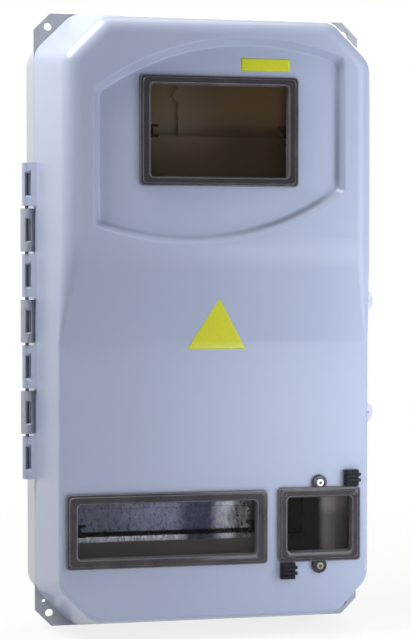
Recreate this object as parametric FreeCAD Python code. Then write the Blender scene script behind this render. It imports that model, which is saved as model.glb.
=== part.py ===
"""Electric meter box: a base tray with corner lugs, a deep two-level door on a knuckle hinge,
three smoked windows, a device rail and two quarter-turn locks.

Frame in millimetres: X to the right, Z up, the front towards -Y, the wall at Y = 0 and the
origin at the middle of the back face.
"""
import FreeCAD
import Part
import math
import os
from FreeCAD import Vector

# Outline shared by the base and the door
RIM_WIDTH = 310.0
RIM_HEIGHT = 566.0
CORNER_LEG = 35.0
CORNER_RADIUS = 20.0
WALL = 3.0
SMALLEST_RADIUS = 1.0
CUT_OVERRUN = 6.0

# Base tray
BASE_DEPTH = 62.0
BACK_EDGE_RADIUS = 5.0
LEDGE_WIDTH = 9.0
LEDGE_THICKNESS = 4.0
LUG_THICKNESS = 4.0
LUG_CORNER_LEG = 15.0
LUG_ROOT = 6.0
LUG_HOLE_FROM_SIDE = 13.0
LUG_HOLE_FROM_END = 12.0
LUG_HOLE_DIAMETER = 7.5
SEAL_HOLE_DIAMETER = 3.5
SEAL_HOLE_FROM_SIDE = 8.0
SEAL_HOLE_FROM_END = 23.5

# Rim gasket
GASKET_WIDTH = 4.0
GASKET_HEIGHT = 3.0
GASKET_FROM_EDGE = 4.0
PARTING_GAP = 1.0

# Door form: depths are measured ahead of the door's rim
LOWER_DEPTH = 74.0
UPPER_DEPTH = 94.0
SIDE_DRAFT = 9.6
TOP_DRAFT = 8.2
BOTTOM_DRAFT = 12.4
CORNER_DRAFT = 13.0
CREASE_Z = -18.0
SLOPE_TOP_Z = 60.0
UPPER_EDGE_RADIUS = 16.0
LOWER_EDGE_RADIUS = 4.0
RIDGE_RADIUS = 120.0
CREASE_RADIUS = 40.0
DOOR_LEDGE_THICKNESS = 3.0

# Recess round the upper window
RECESS_DEPTH = 8.0
RECESS_WALL_RUN = 6.0
RECESS_HALF_WIDTH = 114.5
RECESS_CENTRE_Z = 161.5
RECESS_LOW_END = 44.5
RECESS_HIGH_END = 75.5
RECESS_PEAK_X = 30.0
RECESS_PEAK = 92.0
RECESS_CORNER_RADIUS = 9.0
RECESS_FOOT_RADIUS = 2.0
RECESS_LIP_RADIUS = 1.6

# Windows: outer frame size, pane size and centre
FRAME_PROUD = 3.0
FRAME_BEVEL = 0.8
FRAME_CORNER_RADIUS = 3.0
FRAME_STEP = 0.9
FRAME_STEP_INSET = 3.0
LIP_RADIUS = 1.0
INNER_CORNER_RADIUS = 6.0
PANE_WALL_LEAN = 1.4
PANE_SINK = 5.5
PANE_THICKNESS = 2.0
SKIRT_WALL = 1.8
SKIRT_CLEARANCE = 0.4
SEAL_THICKNESS = 1.0
SEAL_WIDTH = 6.0
UPPER_WINDOW_WIDTH = 145.0
UPPER_WINDOW_HEIGHT = 98.0
UPPER_WINDOW_X = 0.0
UPPER_WINDOW_Z = 170.5
UPPER_WINDOW_BORDER_X = 10.8
UPPER_WINDOW_BORDER_Z = 8.6
MODULE_WINDOW_WIDTH = 184.0
MODULE_WINDOW_HEIGHT = 67.0
MODULE_WINDOW_X = -44.7
MODULE_WINDOW_Z = -185.5
MODULE_WINDOW_BORDER_X = 11.5
MODULE_WINDOW_BORDER_Z = 10.0
BREAKER_WINDOW_WIDTH = 78.0
BREAKER_WINDOW_HEIGHT = 68.0
BREAKER_WINDOW_X = 96.0
BREAKER_WINDOW_Z = -184.5
BREAKER_WINDOW_BORDER_X = 9.8
BREAKER_WINDOW_BORDER_Z = 10.0
EAR_RADIUS = 7.0
EAR_REACH = 4.0
CLIP_LENGTH = 7.0
CLIP_HEIGHT = 11.5
CLIP_BAR = 2.4
CLIP_THICKNESS = 2.0
CLIP_FOOT = 5.0

# Cover screws and the sealing blocks beside the breaker window
COVER_SCREW_DIAMETER = 3.5
COVER_SCREW_HEAD_DIAMETER = 7.0
COVER_SCREW_HEAD_HEIGHT = 2.2
COVER_SCREW_SOCKET_DIAMETER = 2.8
COVER_SCREW_SOCKET_DEPTH = 1.4
COVER_SCREW_LENGTH = 12.0
SCREW_CLEARANCE = 0.05
HEAD_BEVEL = 0.9
COVER_BOSS_DIAMETER = 8.0
SEAL_BLOCK_WIDTH = 13.0
SEAL_BLOCK_HEIGHT = 14.5
SEAL_BLOCK_DEPTH = 7.0
SEAL_BLOCK_GAP = 0.6
SEAL_BLOCK_RIDGES = 4
SEAL_BLOCK_GROOVE = 1.3
SEAL_BLOCK_INSET = 1.5
SEAL_BLOCK_FROM_END = 2.5
SEAL_PRONG_COUNT = 2
SEAL_PRONG_LENGTH = 2.6
SEAL_PRONG_WIDTH = 2.6
SEAL_PRONG_PITCH = 5.2

# Hinge
HINGE_LENGTH = 291.0
KNUCKLE_COUNT = 7
KNUCKLE_GAP = 2.6
BASE_KNUCKLE_RADIUS = 5.8
DOOR_KNUCKLE_RADIUS = 4.4
PIN_OFFSET = 7.0
PIN_DIAMETER = 3.2
PIN_CLEARANCE = 0.05
PIN_END_GAP = 0.6
PIN_BEVEL = 0.5
KNUCKLE_SLOT_WIDTH = 4.4
KNUCKLE_SLOT_HEIGHT = 20.0
KNUCKLE_SLOT_BEVEL = 1.6
KNUCKLE_SLOT_SHIFT = 1.2
KNUCKLE_ARM_LENGTH = 9.0

# Quarter-turn locks in the right wall of the base
LOCK_HEIGHTS = {"upper": 17.5, "lower": -90.5}
LOCK_BEHIND_RIM = 14.0
LOCK_SHAFT_DIAMETER = 8.0
LOCK_CLEARANCE = 0.05
LOCK_FLANGE_DIAMETER = 20.0
LOCK_FLANGE_THICKNESS = 2.0
LOCK_END_GAP = 0.3
WING_RADIUS = 11.5
WING_REACH = 20.5
WING_THICKNESS = 4.0
WING_NECK_WIDTH = 18.4
WING_HOLE_DIAMETER = 3.0
WING_HOLE_FROM_TIP = 5.5
LOCK_BOSS_DIAMETER = 14.0
LOCK_BOSS_LENGTH = 10.0
LOCK_STEM_DIAMETER = 6.0
CAM_THICKNESS = 3.0
CAM_LENGTH = 15.0
CAM_WIDTH = 8.0
CAM_HUB_RADIUS = 5.5
CAM_SCREW_HEAD_DIAMETER = 7.0
CAM_SCREW_HEAD_HEIGHT = 2.4
CAM_SCREW_DIAMETER = 3.0
CAM_SCREW_LENGTH = 8.0

# Hooked keepers, screwed to bosses of the door: the lock cams turn in front of their feet
KEEPER_HEIGHT = 6.0
KEEPER_BELOW_LOCK = 8.0
KEEPER_THICKNESS = 2.5
KEEPER_FOOT = 8.0
KEEPER_FOOT_THICKNESS = 4.5
KEEPER_GAP_BEHIND_CAM = 0.5
KEEPER_GAP_BESIDE_CAM = 3.0
KEEPER_SCREW_AHEAD = 22.0
KEEPER_TAIL = 9.0
KEEPER_TAIL_HEIGHT = 14.0
KEEPER_BOSS_DIAMETER = 11.0
KEEPER_SCREW_LENGTH = 10.0

# Mounting panel for the meter
PANEL_WIDTH = 220.0
PANEL_TOP_Z = 176.0
PANEL_BOTTOM_Z = -95.0
PANEL_THICKNESS = 2.0
PANEL_STANDOFF = 17.0
PANEL_CORNER_RADIUS = 6.0
PANEL_SCREW_INSET = 12.0
PANEL_SLOT_COUNT = 3
PANEL_SLOT_WIDTH = 6.0
PANEL_SLOT_LENGTH = 60.0
PANEL_SLOT_SPACING = 70.0
PANEL_SLOT_Z = 75.0
PANEL_BOSS_DIAMETER = 12.0
PANEL_SCREW_DIAMETER = 4.0
PANEL_SCREW_HEAD_DIAMETER = 8.0
PANEL_SCREW_HEAD_HEIGHT = 2.6
PANEL_SCREW_LENGTH = 12.0
BACK_RIB_X = -8.0
BACK_RIB_WIDTH = 2.5
BACK_RIB_HEIGHT = 9.0
BACK_RIB_TOP = 255.0

# Short bosses and screws of the pieces at the bottom of the tray
BOSS_DIAMETER = 10.0
BOSS_HEIGHT = 7.0
SCREW_DIAMETER = 4.0
SCREW_HEAD_DIAMETER = 7.5
SCREW_HEAD_HEIGHT = 2.4
SCREW_LENGTH = 8.0

# Device rail and the folded brackets that carry it
RAIL_LENGTH = 165.0
RAIL_X = -39.5
RAIL_Z = -184.0
RAIL_HEIGHT = 35.0
RAIL_CHANNEL = 25.0
RAIL_DEPTH = 7.5
RAIL_SHEET = 1.0
RAIL_FRONT = 42.0
BRACKET_WIDTH = 20.0
BRACKET_SHEET = 2.0
BRACKET_FOOT = 24.0
BRACKET_SEAT = 20.0
BRACKET_FROM_RAIL_END = 22.0

# Neutral terminal: insulating holder, brass bar, clamping screws and a snap-on cover
TERMINAL_X = 90.0
TERMINAL_Z = -168.0
HOLDER_WIDTH = 16.0
HOLDER_LENGTH = 70.0
HOLDER_PLATE = 5.0
HOLDER_CORNER_RADIUS = 2.0
HOLDER_SCREW_COUNT = 2
HOLDER_SCREW_SPACING = 24.0
HOLDER_POST_HEIGHT = 38.0
HOLDER_POST_LENGTH = 12.0
BAR_WIDTH = 9.0
BAR_LENGTH = 66.0
BAR_HEIGHT = 9.0
BAR_SCREW_COUNT = 7
BAR_SCREW_DIAMETER = 4.0
BAR_SCREW_HEAD_DIAMETER = 6.0
BAR_SCREW_HEAD_HEIGHT = 2.5
BAR_SCREW_SINK = 4.0
BAR_COVER_WALL = 2.0
BAR_COVER_GAP = 0.3
BAR_COVER_HEAD_GAP = 1.0
BAR_COVER_GRIP = 10.0
BAR_COVER_EDGE_RADIUS = 1.0

# Cable grommets in the floor of the base
GROMMET_COUNT = 3
GROMMET_SPACING = 80.0
GROMMET_HOLE_DIAMETER = 30.0
GROMMET_FLANGE_DIAMETER = 37.0
GROMMET_FLANGE = 2.0
GROMMET_MEMBRANE = 1.5
GROMMET_WALL = 3.0

# Places worked out from the sizes above
RIM_Y = -BASE_DEPTH
DOOR_RIM_Y = RIM_Y - PARTING_GAP
LOWER_FRONT_Y = DOOR_RIM_Y - LOWER_DEPTH
UPPER_FRONT_Y = DOOR_RIM_Y - UPPER_DEPTH
RECESS_FLOOR_Y = UPPER_FRONT_Y + RECESS_DEPTH
HINGE_X = -RIM_WIDTH / 2 - PIN_OFFSET
HINGE_Y = RIM_Y - PARTING_GAP / 2
KNUCKLE_LENGTH = (HINGE_LENGTH - (KNUCKLE_COUNT - 1) * KNUCKLE_GAP) / KNUCKLE_COUNT
LOCK_Y = RIM_Y + LOCK_BEHIND_RIM
SIDE_X = RIM_WIDTH / 2
BACK_IN_Y = -WALL
BOSS_TOP_Y = BACK_IN_Y - BOSS_HEIGHT
SCREW_BORE = SCREW_DIAMETER + 2 * SCREW_CLEARANCE
SAME = 1e-3
X_AXIS = Vector(1, 0, 0)
Y_AXIS = Vector(0, 1, 0)
Z_AXIS = Vector(0, 0, 1)


def tangent(degrees):
    """Tangent of an angle in degrees."""
    return math.tan(math.radians(degrees))


def box(x0, x1, y0, y1, z0, z1):
    """Box between two values on each axis, given in any order."""
    corner = Vector(min(x0, x1), min(y0, y1), min(z0, z1))
    return Part.makeBox(abs(x1 - x0), abs(y1 - y0), abs(z1 - z0), corner)


def rod(start, axis, diameter, length):
    """Round bar from a start point along an axis."""
    return Part.makeCylinder(diameter / 2, length, start, axis)


def polygon_face(points):
    """Flat face inside a closed run of points."""
    return Part.Face(Part.makePolygon(points + [points[0]]))


def octagon(inset, y):
    """Rim outline with its 45-degree corners, moved inward by an inset, at depth y."""
    w = RIM_WIDTH / 2 - inset
    h = RIM_HEIGHT / 2 - inset
    leg = CORNER_LEG - inset * (2 - math.sqrt(2))
    corners = [(w, h - leg), (w - leg, h), (leg - w, h), (-w, h - leg),
               (-w, leg - h), (leg - w, -h), (w - leg, -h), (w, leg - h)]
    return [Vector(x, y, z) for x, z in corners]


def octagon_prism(inset, y0, y1):
    """Rim outline carried from depth y0 to y1, with its upright corner edges rounded."""
    body = polygon_face(octagon(inset, y0)).extrude(Vector(0, y1 - y0, 0))
    uprights = [e for e in body.Edges if e.BoundBox.YLength > SAME]
    return body.makeFillet(max(CORNER_RADIUS - inset, SMALLEST_RADIUS), uprights)


def rounded_plate(width, height, x, z, y0, y1, radius):
    """Plate of width by height about (x, z), from y0 to y1, with rounded corners."""
    plate = box(x - width / 2, x + width / 2, y0, y1, z - height / 2, z + height / 2)
    uprights = [e for e in plate.Edges if e.BoundBox.YLength > SAME]
    return plate.makeFillet(radius, uprights)


def upright_slot(x, z, width, length, y0, y1):
    """Slot cutter with round ends, standing upright about (x, z), from y0 to y1."""
    reach = (length - width) / 2
    slot = box(x - width / 2, x + width / 2, y0, y1, z - reach, z + reach)
    for end in (z - reach, z + reach):
        slot = slot.fuse(rod(Vector(x, max(y0, y1), end), -Y_AXIS, width, abs(y1 - y0)))
    return slot


def edges_on_plane(shape, y):
    """Edges that lie wholly at one depth."""
    return [e for e in shape.Edges
            if abs(e.BoundBox.YMin - y) < SAME and abs(e.BoundBox.YMax - y) < SAME]


def spread(count, pitch):
    """Places of a row of equal pitch, centred on zero."""
    return [(i - (count - 1) / 2) * pitch for i in range(count)]


def fillet_edges(shape, radii):
    """Round edges, each with its own start and end radius: radii maps edge number to both."""
    document = FreeCAD.newDocument("rounding")
    source = document.addObject("Part::Feature", "source")
    source.Shape = shape
    rounding = document.addObject("Part::Fillet", "rounding")
    rounding.Base = source
    rounding.Edges = [(number, r0, r1) for number, (r0, r1) in radii.items()]
    document.recompute()
    result = rounding.Shape.copy()
    FreeCAD.closeDocument(document.Name)
    return result


def door_polyhedron(inset):
    """Two-level door as flat faces, its walls and fronts moved inward by an inset.

    Each wall leans inward by its own draft. The upper front stands further out than the lower
    one, and a sloped band joins them between the crease and the ridge.
    """
    lower = LOWER_DEPTH - inset
    upper = UPPER_DEPTH - inset

    def half_width(ahead):
        return RIM_WIDTH / 2 - ahead * tangent(SIDE_DRAFT) - inset

    def corner_sum(ahead):
        moved = ahead * tangent(CORNER_DRAFT) + inset
        return (RIM_WIDTH + RIM_HEIGHT) / 2 - CORNER_LEG - math.sqrt(2) * moved

    def end_height(ahead, draft):
        return RIM_HEIGHT / 2 - ahead * tangent(draft) - inset

    def corner_pair(side, ahead, height, sign):
        """The two ends of one corner facet at one depth: on the end wall and on the side wall."""
        y = DOOR_RIM_Y - ahead
        on_end = Vector(side * (corner_sum(ahead) - height), y, sign * height)
        on_side = Vector(side * half_width(ahead), y, sign * (corner_sum(ahead) - half_width(ahead)))
        return on_end, on_side

    def half_outline(side):
        """Named corner points of the left or the right half."""
        p = {}
        p["rim_top"], p["rim_upper"] = corner_pair(side, 0, end_height(0, TOP_DRAFT), 1)
        p["rim_bottom"], p["rim_lower"] = corner_pair(side, 0, end_height(0, BOTTOM_DRAFT), -1)
        p["front_top"], p["front_upper"] = corner_pair(side, upper, end_height(upper, TOP_DRAFT), 1)
        p["front_bottom"], p["front_lower"] = corner_pair(side, lower, end_height(lower, BOTTOM_DRAFT), -1)
        p["ridge"] = Vector(side * half_width(upper), DOOR_RIM_Y - upper, SLOPE_TOP_Z)
        p["crease"] = Vector(side * half_width(lower), DOOR_RIM_Y - lower, CREASE_Z)
        return p

    left = half_outline(-1)
    right = half_outline(1)
    outlines = []
    for p in (left, right):
        outlines.append([p["rim_top"], p["rim_upper"], p["front_upper"], p["front_top"]])
        outlines.append([p["rim_upper"], p["rim_lower"], p["front_lower"], p["crease"], p["ridge"],
                         p["front_upper"]])
        outlines.append([p["rim_lower"], p["rim_bottom"], p["front_bottom"], p["front_lower"]])
    loops = (["rim_top", "front_top"], ["rim_bottom", "front_bottom"], ["ridge", "crease"],
             ["front_top", "front_upper", "ridge"], ["crease", "front_lower", "front_bottom"],
             ["rim_top", "rim_upper", "rim_lower", "rim_bottom"])
    for names in loops:
        outlines.append([left[n] for n in names] + [right[n] for n in reversed(names)])

    inside = Vector(0, DOOR_RIM_Y - lower / 2, 0)
    faces = []
    for points in outlines:
        normal = (points[1] - points[0]).cross(points[2] - points[1])
        outward = points if normal.dot(points[0] - inside) > 0 else points[::-1]
        faces.append(polygon_face(outward))
    return Part.Solid(Part.Shell(faces))


def door_form(inset):
    """The door's rounded block: inset 0 is its outside, inset WALL its inside.

    Corner edges first, then the ridge and the crease of the slope, then the whole front edge,
    whose radius runs from large round the upper front to small round the lower front.
    """
    lower_y = LOWER_FRONT_Y + inset
    upper_y = UPPER_FRONT_Y + inset
    big = UPPER_EDGE_RADIUS - inset
    small = max(LOWER_EDGE_RADIUS - inset, SMALLEST_RADIUS)
    body = door_polyhedron(inset)

    corners = {}
    for number, e in enumerate(body.Edges, 1):
        depths = [v.Point.y for v in e.Vertexes]
        if max(depths) > DOOR_RIM_Y - SAME and min(depths) < lower_y + SAME:
            corners[number] = (CORNER_RADIUS - inset, CORNER_RADIUS - inset)
    body = fillet_edges(body, corners)

    bends = {}
    for number, e in enumerate(body.Edges, 1):
        heights = [v.Point.z for v in e.Vertexes]
        level = max(heights) - min(heights) < SAME and e.BoundBox.YLength < SAME
        if level and abs(heights[0] - SLOPE_TOP_Z) < SAME:
            bends[number] = (RIDGE_RADIUS - inset, RIDGE_RADIUS - inset)
        if level and abs(heights[0] - CREASE_Z) < SAME:
            bends[number] = (CREASE_RADIUS + inset, CREASE_RADIUS + inset)
    body = fillet_edges(body, bends)

    def edge_radius(point):
        share = (lower_y - point.y) / (lower_y - upper_y)
        return small + (big - small) * min(max(share, 0.0), 1.0)

    front = {}
    for number, e in enumerate(body.Edges, 1):
        points = [v.Point for v in e.Vertexes]
        across = e.BoundBox.ZLength < SAME and abs(points[0].z) < RIM_HEIGHT / 4
        if max(p.y for p in points) < lower_y + SAME and not across:
            start = edge_radius(e.valueAt(e.FirstParameter))
            end = edge_radius(e.valueAt(e.LastParameter))
            front[number] = (start, end)
    return fillet_edges(body, front)


def recess_outline(inset, y):
    """Recess outline: two upright sides and two shallow arcs, the same turned half round.

    The upper arc runs from the low left end over an off-centre peak to the high right end.
    """
    low = Vector(-RECESS_HALF_WIDTH, 0, RECESS_LOW_END)
    peak = Vector(RECESS_PEAK_X, 0, RECESS_PEAK)
    high = Vector(RECESS_HALF_WIDTH, 0, RECESS_HIGH_END)
    arc = Part.Arc(low, peak, high).toShape().Curve
    centre = arc.Center
    radius = arc.Radius - inset
    half = RECESS_HALF_WIDTH - inset

    def arc_point(x):
        return centre.z + math.sqrt(radius ** 2 - (x - centre.x) ** 2)

    def place(x, z):
        return Vector(x, y, RECESS_CENTRE_Z + z)

    start = place(-half, arc_point(-half))
    end = place(half, arc_point(half))
    turned_start = place(half, -arc_point(-half))
    turned_end = place(-half, -arc_point(half))
    upper = Part.Arc(start, place(RECESS_PEAK_X, arc_point(RECESS_PEAK_X)), end).toShape()
    lower = Part.Arc(turned_start, place(-RECESS_PEAK_X, -arc_point(RECESS_PEAK_X)), turned_end).toShape()
    right = Part.makeLine(end, turned_start)
    left = Part.makeLine(turned_end, start)
    return Part.Wire([upper, right, lower, left])


def recess_tool(outset, deeper):
    """Sunk form of the recess: sloped walls from the front down to the recess floor."""
    floor_y = RECESS_FLOOR_Y + deeper
    slope = RECESS_WALL_RUN / RECESS_DEPTH
    front_y = UPPER_FRONT_Y - RECESS_DEPTH
    front = recess_outline(-outset - (floor_y - front_y - RECESS_DEPTH) * slope, front_y)
    floor = recess_outline(RECESS_WALL_RUN - outset, floor_y)
    block = Part.makeLoft([front, floor], True, True)
    uprights = [e for e in block.Edges if e.BoundBox.YLength > RECESS_DEPTH]
    block = block.makeFillet(RECESS_CORNER_RADIUS, uprights)
    return block.makeFillet(RECESS_FOOT_RADIUS, edges_on_plane(block, floor_y))


def round_recess_lip(shell):
    """Rounds the edge where the recess breaks through the upper front."""
    lip = []
    for e in shell.Edges:
        reach = e.BoundBox
        inside = max(-reach.XMin, reach.XMax) < RECESS_HALF_WIDTH + SAME and reach.ZMin > SLOPE_TOP_Z
        if inside and reach.YMax < UPPER_FRONT_Y + RECESS_LIP_RADIUS:
            lip.append(e)
    return shell.makeFillet(RECESS_LIP_RADIUS, lip)


class Window:
    """Sizes of one window tray: outer frame, pane opening and the surface it sits on."""

    def __init__(self, width, height, x, z, border_x, border_z, surface_y):
        self.width = width
        self.height = height
        self.x = x
        self.z = z
        self.pane_width = width - 2 * border_x
        self.pane_height = height - 2 * border_z
        self.skirt_width = self.pane_width + 2 * SKIRT_WALL
        self.skirt_height = self.pane_height + 2 * SKIRT_WALL
        self.surface_y = surface_y
        self.frame_back_y = surface_y - SEAL_THICKNESS
        self.frame_front_y = self.frame_back_y - FRAME_PROUD
        self.step_y = self.frame_front_y + FRAME_STEP
        self.pane_front_y = self.frame_front_y + PANE_SINK
        self.pane_back_y = self.pane_front_y + PANE_THICKNESS


UPPER_WINDOW = Window(UPPER_WINDOW_WIDTH, UPPER_WINDOW_HEIGHT, UPPER_WINDOW_X, UPPER_WINDOW_Z,
                      UPPER_WINDOW_BORDER_X, UPPER_WINDOW_BORDER_Z, RECESS_FLOOR_Y)
MODULE_WINDOW = Window(MODULE_WINDOW_WIDTH, MODULE_WINDOW_HEIGHT, MODULE_WINDOW_X, MODULE_WINDOW_Z,
                       MODULE_WINDOW_BORDER_X, MODULE_WINDOW_BORDER_Z, LOWER_FRONT_Y)
BREAKER_WINDOW = Window(BREAKER_WINDOW_WIDTH, BREAKER_WINDOW_HEIGHT, BREAKER_WINDOW_X, BREAKER_WINDOW_Z,
                        BREAKER_WINDOW_BORDER_X, BREAKER_WINDOW_BORDER_Z, LOWER_FRONT_Y)
WINDOWS = {"upper": UPPER_WINDOW, "module": MODULE_WINDOW, "breaker": BREAKER_WINDOW}


def cover_screw_places():
    """Centres of the two screw ears above and below the breaker window."""
    offset = BREAKER_WINDOW.height / 2 + EAR_REACH
    return [(BREAKER_WINDOW.x, BREAKER_WINDOW.z + offset), (BREAKER_WINDOW.x, BREAKER_WINDOW.z - offset)]


def rounded_outline(width, height, x, z, y, radius):
    """Closed outline of a rounded rectangle at one depth."""
    plate = rounded_plate(width, height, x, z, y, y + WALL, radius)
    return [f for f in plate.Faces if f.BoundBox.YMax < y + SAME][0].OuterWire


def window_pocket(window):
    """Sunk front of a window: its walls lean in from the lip down to the pane."""
    lip = rounded_outline(window.pane_width + 2 * PANE_WALL_LEAN, window.pane_height + 2 * PANE_WALL_LEAN,
                          window.x, window.z, window.frame_front_y, INNER_CORNER_RADIUS + PANE_WALL_LEAN)
    foot = rounded_outline(window.pane_width, window.pane_height, window.x, window.z, window.pane_front_y,
                           INNER_CORNER_RADIUS)
    return Part.makeLoft([lip, foot], True, True)


def window_tray(window, ears):
    """Smoked moulding: a stepped frame, a skirt through the door and the pane sunk behind a rounded lip."""
    base = rounded_plate(window.width, window.height, window.x, window.z, window.frame_back_y, window.step_y,
                         FRAME_CORNER_RADIUS)
    for x, z in ears:
        ear = rod(Vector(x, window.frame_back_y, z), -Y_AXIS, 2 * EAR_RADIUS, FRAME_PROUD - FRAME_STEP)
        base = base.fuse(ear)
    base = base.removeSplitter()
    base = base.makeChamfer(FRAME_BEVEL, edges_on_plane(base, window.step_y))
    face = rounded_plate(window.width - 2 * FRAME_STEP_INSET, window.height - 2 * FRAME_STEP_INSET, window.x,
                         window.z, window.frame_back_y, window.frame_front_y, FRAME_CORNER_RADIUS)
    face = face.makeChamfer(FRAME_STEP / 2, edges_on_plane(face, window.frame_front_y))
    skirt = rounded_plate(window.skirt_width, window.skirt_height, window.x, window.z, window.frame_back_y,
                          window.pane_back_y, FRAME_CORNER_RADIUS)
    tray = base.fuse(face).fuse(skirt).cut(window_pocket(window)).removeSplitter()
    lip = [e for e in edges_on_plane(tray, window.frame_front_y)
           if abs(e.BoundBox.Center.x - window.x) < window.pane_width / 2 + 2 * PANE_WALL_LEAN
           and abs(e.BoundBox.Center.z - window.z) < window.pane_height / 2 + 2 * PANE_WALL_LEAN]
    tray = tray.makeFillet(LIP_RADIUS, lip)
    for x, z in ears:
        hole = COVER_SCREW_DIAMETER + 2 * SCREW_CLEARANCE
        tray = tray.cut(rod(Vector(x, window.step_y, z), Y_AXIS, hole, FRAME_PROUD))
    return tray.removeSplitter()


def window_seal(window):
    """Flat foam ring between the window frame and the door."""
    width = window.skirt_width + 2 * SKIRT_CLEARANCE
    height = window.skirt_height + 2 * SKIRT_CLEARANCE
    outer = rounded_plate(width + 2 * SEAL_WIDTH, height + 2 * SEAL_WIDTH, window.x, window.z,
                          window.surface_y, window.frame_back_y, FRAME_CORNER_RADIUS)
    inner = rounded_plate(width, height, window.x, window.z, window.surface_y, window.frame_back_y,
                          FRAME_CORNER_RADIUS)
    return outer.cut(inner)


def window_opening(window):
    """Cut through the door for a window's skirt."""
    width = window.skirt_width + 2 * SKIRT_CLEARANCE
    height = window.skirt_height + 2 * SKIRT_CLEARANCE
    back = window.surface_y + WALL + CUT_OVERRUN
    return rounded_plate(width, height, window.x, window.z, window.surface_y, back, FRAME_CORNER_RADIUS)


def window_clips(window):
    """C-shaped clips at mid height of both sides: each clamps the pane to the door's inside."""
    clips = []
    for side in (-1, 1):
        edge = window.x + side * window.pane_width / 2
        outer = window.x + side * (window.skirt_width / 2 + SKIRT_CLEARANCE + CLIP_FOOT)
        inner = edge - side * CLIP_LENGTH
        y0 = window.pane_back_y
        y1 = y0 + CLIP_THICKNESS
        z0 = window.z - CLIP_HEIGHT / 2
        z1 = window.z + CLIP_HEIGHT / 2
        plate = box(outer, inner, y0, y1, z0, z1)
        slot = box(edge - side * CLIP_BAR, inner, y0, y1, z0 + CLIP_BAR, z1 - CLIP_BAR)
        foot_edge = window.x + side * (window.skirt_width / 2 + 2 * SKIRT_CLEARANCE)
        foot = box(outer, foot_edge, y0, window.surface_y + WALL, z0, z1)
        clips.append(plate.cut(slot).fuse(foot).removeSplitter())
    return Part.makeCompound(clips)


def pan_screw(seat, axis, diameter, length, head_diameter, head_height):
    """Screw with a bevelled head: the shank runs along the axis from the seat, the head stands behind."""
    head = rod(seat, -axis, head_diameter, head_height)
    rim = [e for e in head.Edges if (e.CenterOfMass - seat).dot(-axis) > head_height - SAME]
    head = head.makeChamfer(HEAD_BEVEL, [e for e in rim if e.Closed])
    return head.fuse(rod(seat, axis, diameter, length)).removeSplitter()


def cover_screws():
    """Two sealing screws of the breaker cover, their heads bored."""
    screws = []
    for x, z in cover_screw_places():
        seat = Vector(x, BREAKER_WINDOW.step_y, z)
        screw = pan_screw(seat, Y_AXIS, COVER_SCREW_DIAMETER, COVER_SCREW_LENGTH,
                          COVER_SCREW_HEAD_DIAMETER, COVER_SCREW_HEAD_HEIGHT)
        top = seat - Y_AXIS * COVER_SCREW_HEAD_HEIGHT
        screws.append(screw.cut(rod(top, Y_AXIS, COVER_SCREW_SOCKET_DIAMETER, COVER_SCREW_SOCKET_DEPTH)))
    return Part.makeCompound(screws)


def seal_block(x, z):
    """Ridged block on the lower front, with two prongs on its right side."""
    front_y = LOWER_FRONT_Y - SEAL_BLOCK_DEPTH
    x0 = x - SEAL_BLOCK_WIDTH / 2
    x1 = x + SEAL_BLOCK_WIDTH / 2
    z0 = z - SEAL_BLOCK_HEIGHT / 2
    block = box(x0, x1, LOWER_FRONT_Y, front_y, z0, z0 + SEAL_BLOCK_HEIGHT)
    block = block.makeChamfer(SEAL_BLOCK_INSET, edges_on_plane(block, front_y))
    pitch = SEAL_BLOCK_HEIGHT / SEAL_BLOCK_RIDGES
    for offset in spread(SEAL_BLOCK_RIDGES - 1, pitch):
        groove = box(x0, x1, front_y, front_y + 2 * SEAL_BLOCK_GROOVE, z + offset - SEAL_BLOCK_GROOVE / 2,
                     z + offset + SEAL_BLOCK_GROOVE / 2)
        block = block.cut(groove)
    prong_y = (LOWER_FRONT_Y + front_y) / 2
    for offset in spread(SEAL_PRONG_COUNT, SEAL_PRONG_PITCH):
        block = block.fuse(box(x1 - SEAL_BLOCK_INSET, x1 + SEAL_PRONG_LENGTH, LOWER_FRONT_Y, prong_y,
                               z + offset - SEAL_PRONG_WIDTH / 2, z + offset + SEAL_PRONG_WIDTH / 2))
    return block.removeSplitter()


def seal_block_places():
    """Upper block at the right end of the breaker frame, lower block at its left end."""
    reach = BREAKER_WINDOW.height / 2 + SEAL_BLOCK_GAP + SEAL_BLOCK_HEIGHT / 2
    side = BREAKER_WINDOW.width / 2 - SEAL_BLOCK_WIDTH / 2 - SEAL_BLOCK_FROM_END
    upper = (BREAKER_WINDOW.x + side, BREAKER_WINDOW.z + reach)
    lower = (BREAKER_WINDOW.x - side, BREAKER_WINDOW.z - reach)
    return {"upper": upper, "lower": lower}


def knuckle_span(index):
    """Lower and upper end of one hinge knuckle, counted from the top."""
    top = HINGE_LENGTH / 2 - index * (KNUCKLE_LENGTH + KNUCKLE_GAP)
    return top - KNUCKLE_LENGTH, top


def knuckle_slot(middle, radius):
    """Slot in the front of a knuckle, down to the pin, its rim bevelled all round."""
    x = HINGE_X + KNUCKLE_SLOT_SHIFT
    front_y = HINGE_Y - radius
    bevel_y = front_y + KNUCKLE_SLOT_BEVEL
    slot = box(x - KNUCKLE_SLOT_WIDTH / 2, x + KNUCKLE_SLOT_WIDTH / 2, HINGE_Y, bevel_y,
               middle - KNUCKLE_SLOT_HEIGHT / 2, middle + KNUCKLE_SLOT_HEIGHT / 2)
    outlines = []
    for y in (bevel_y, bevel_y - 2 * KNUCKLE_SLOT_BEVEL):
        half_width = KNUCKLE_SLOT_WIDTH / 2 + bevel_y - y
        half_height = KNUCKLE_SLOT_HEIGHT / 2 + bevel_y - y
        corners = [Vector(x + sx * half_width, y, middle + sz * half_height)
                   for sx, sz in ((-1, -1), (1, -1), (1, 1), (-1, 1))]
        outlines.append(Part.makePolygon(corners + [corners[0]]))
    return slot.fuse(Part.makeLoft(outlines, True, True))


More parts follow.
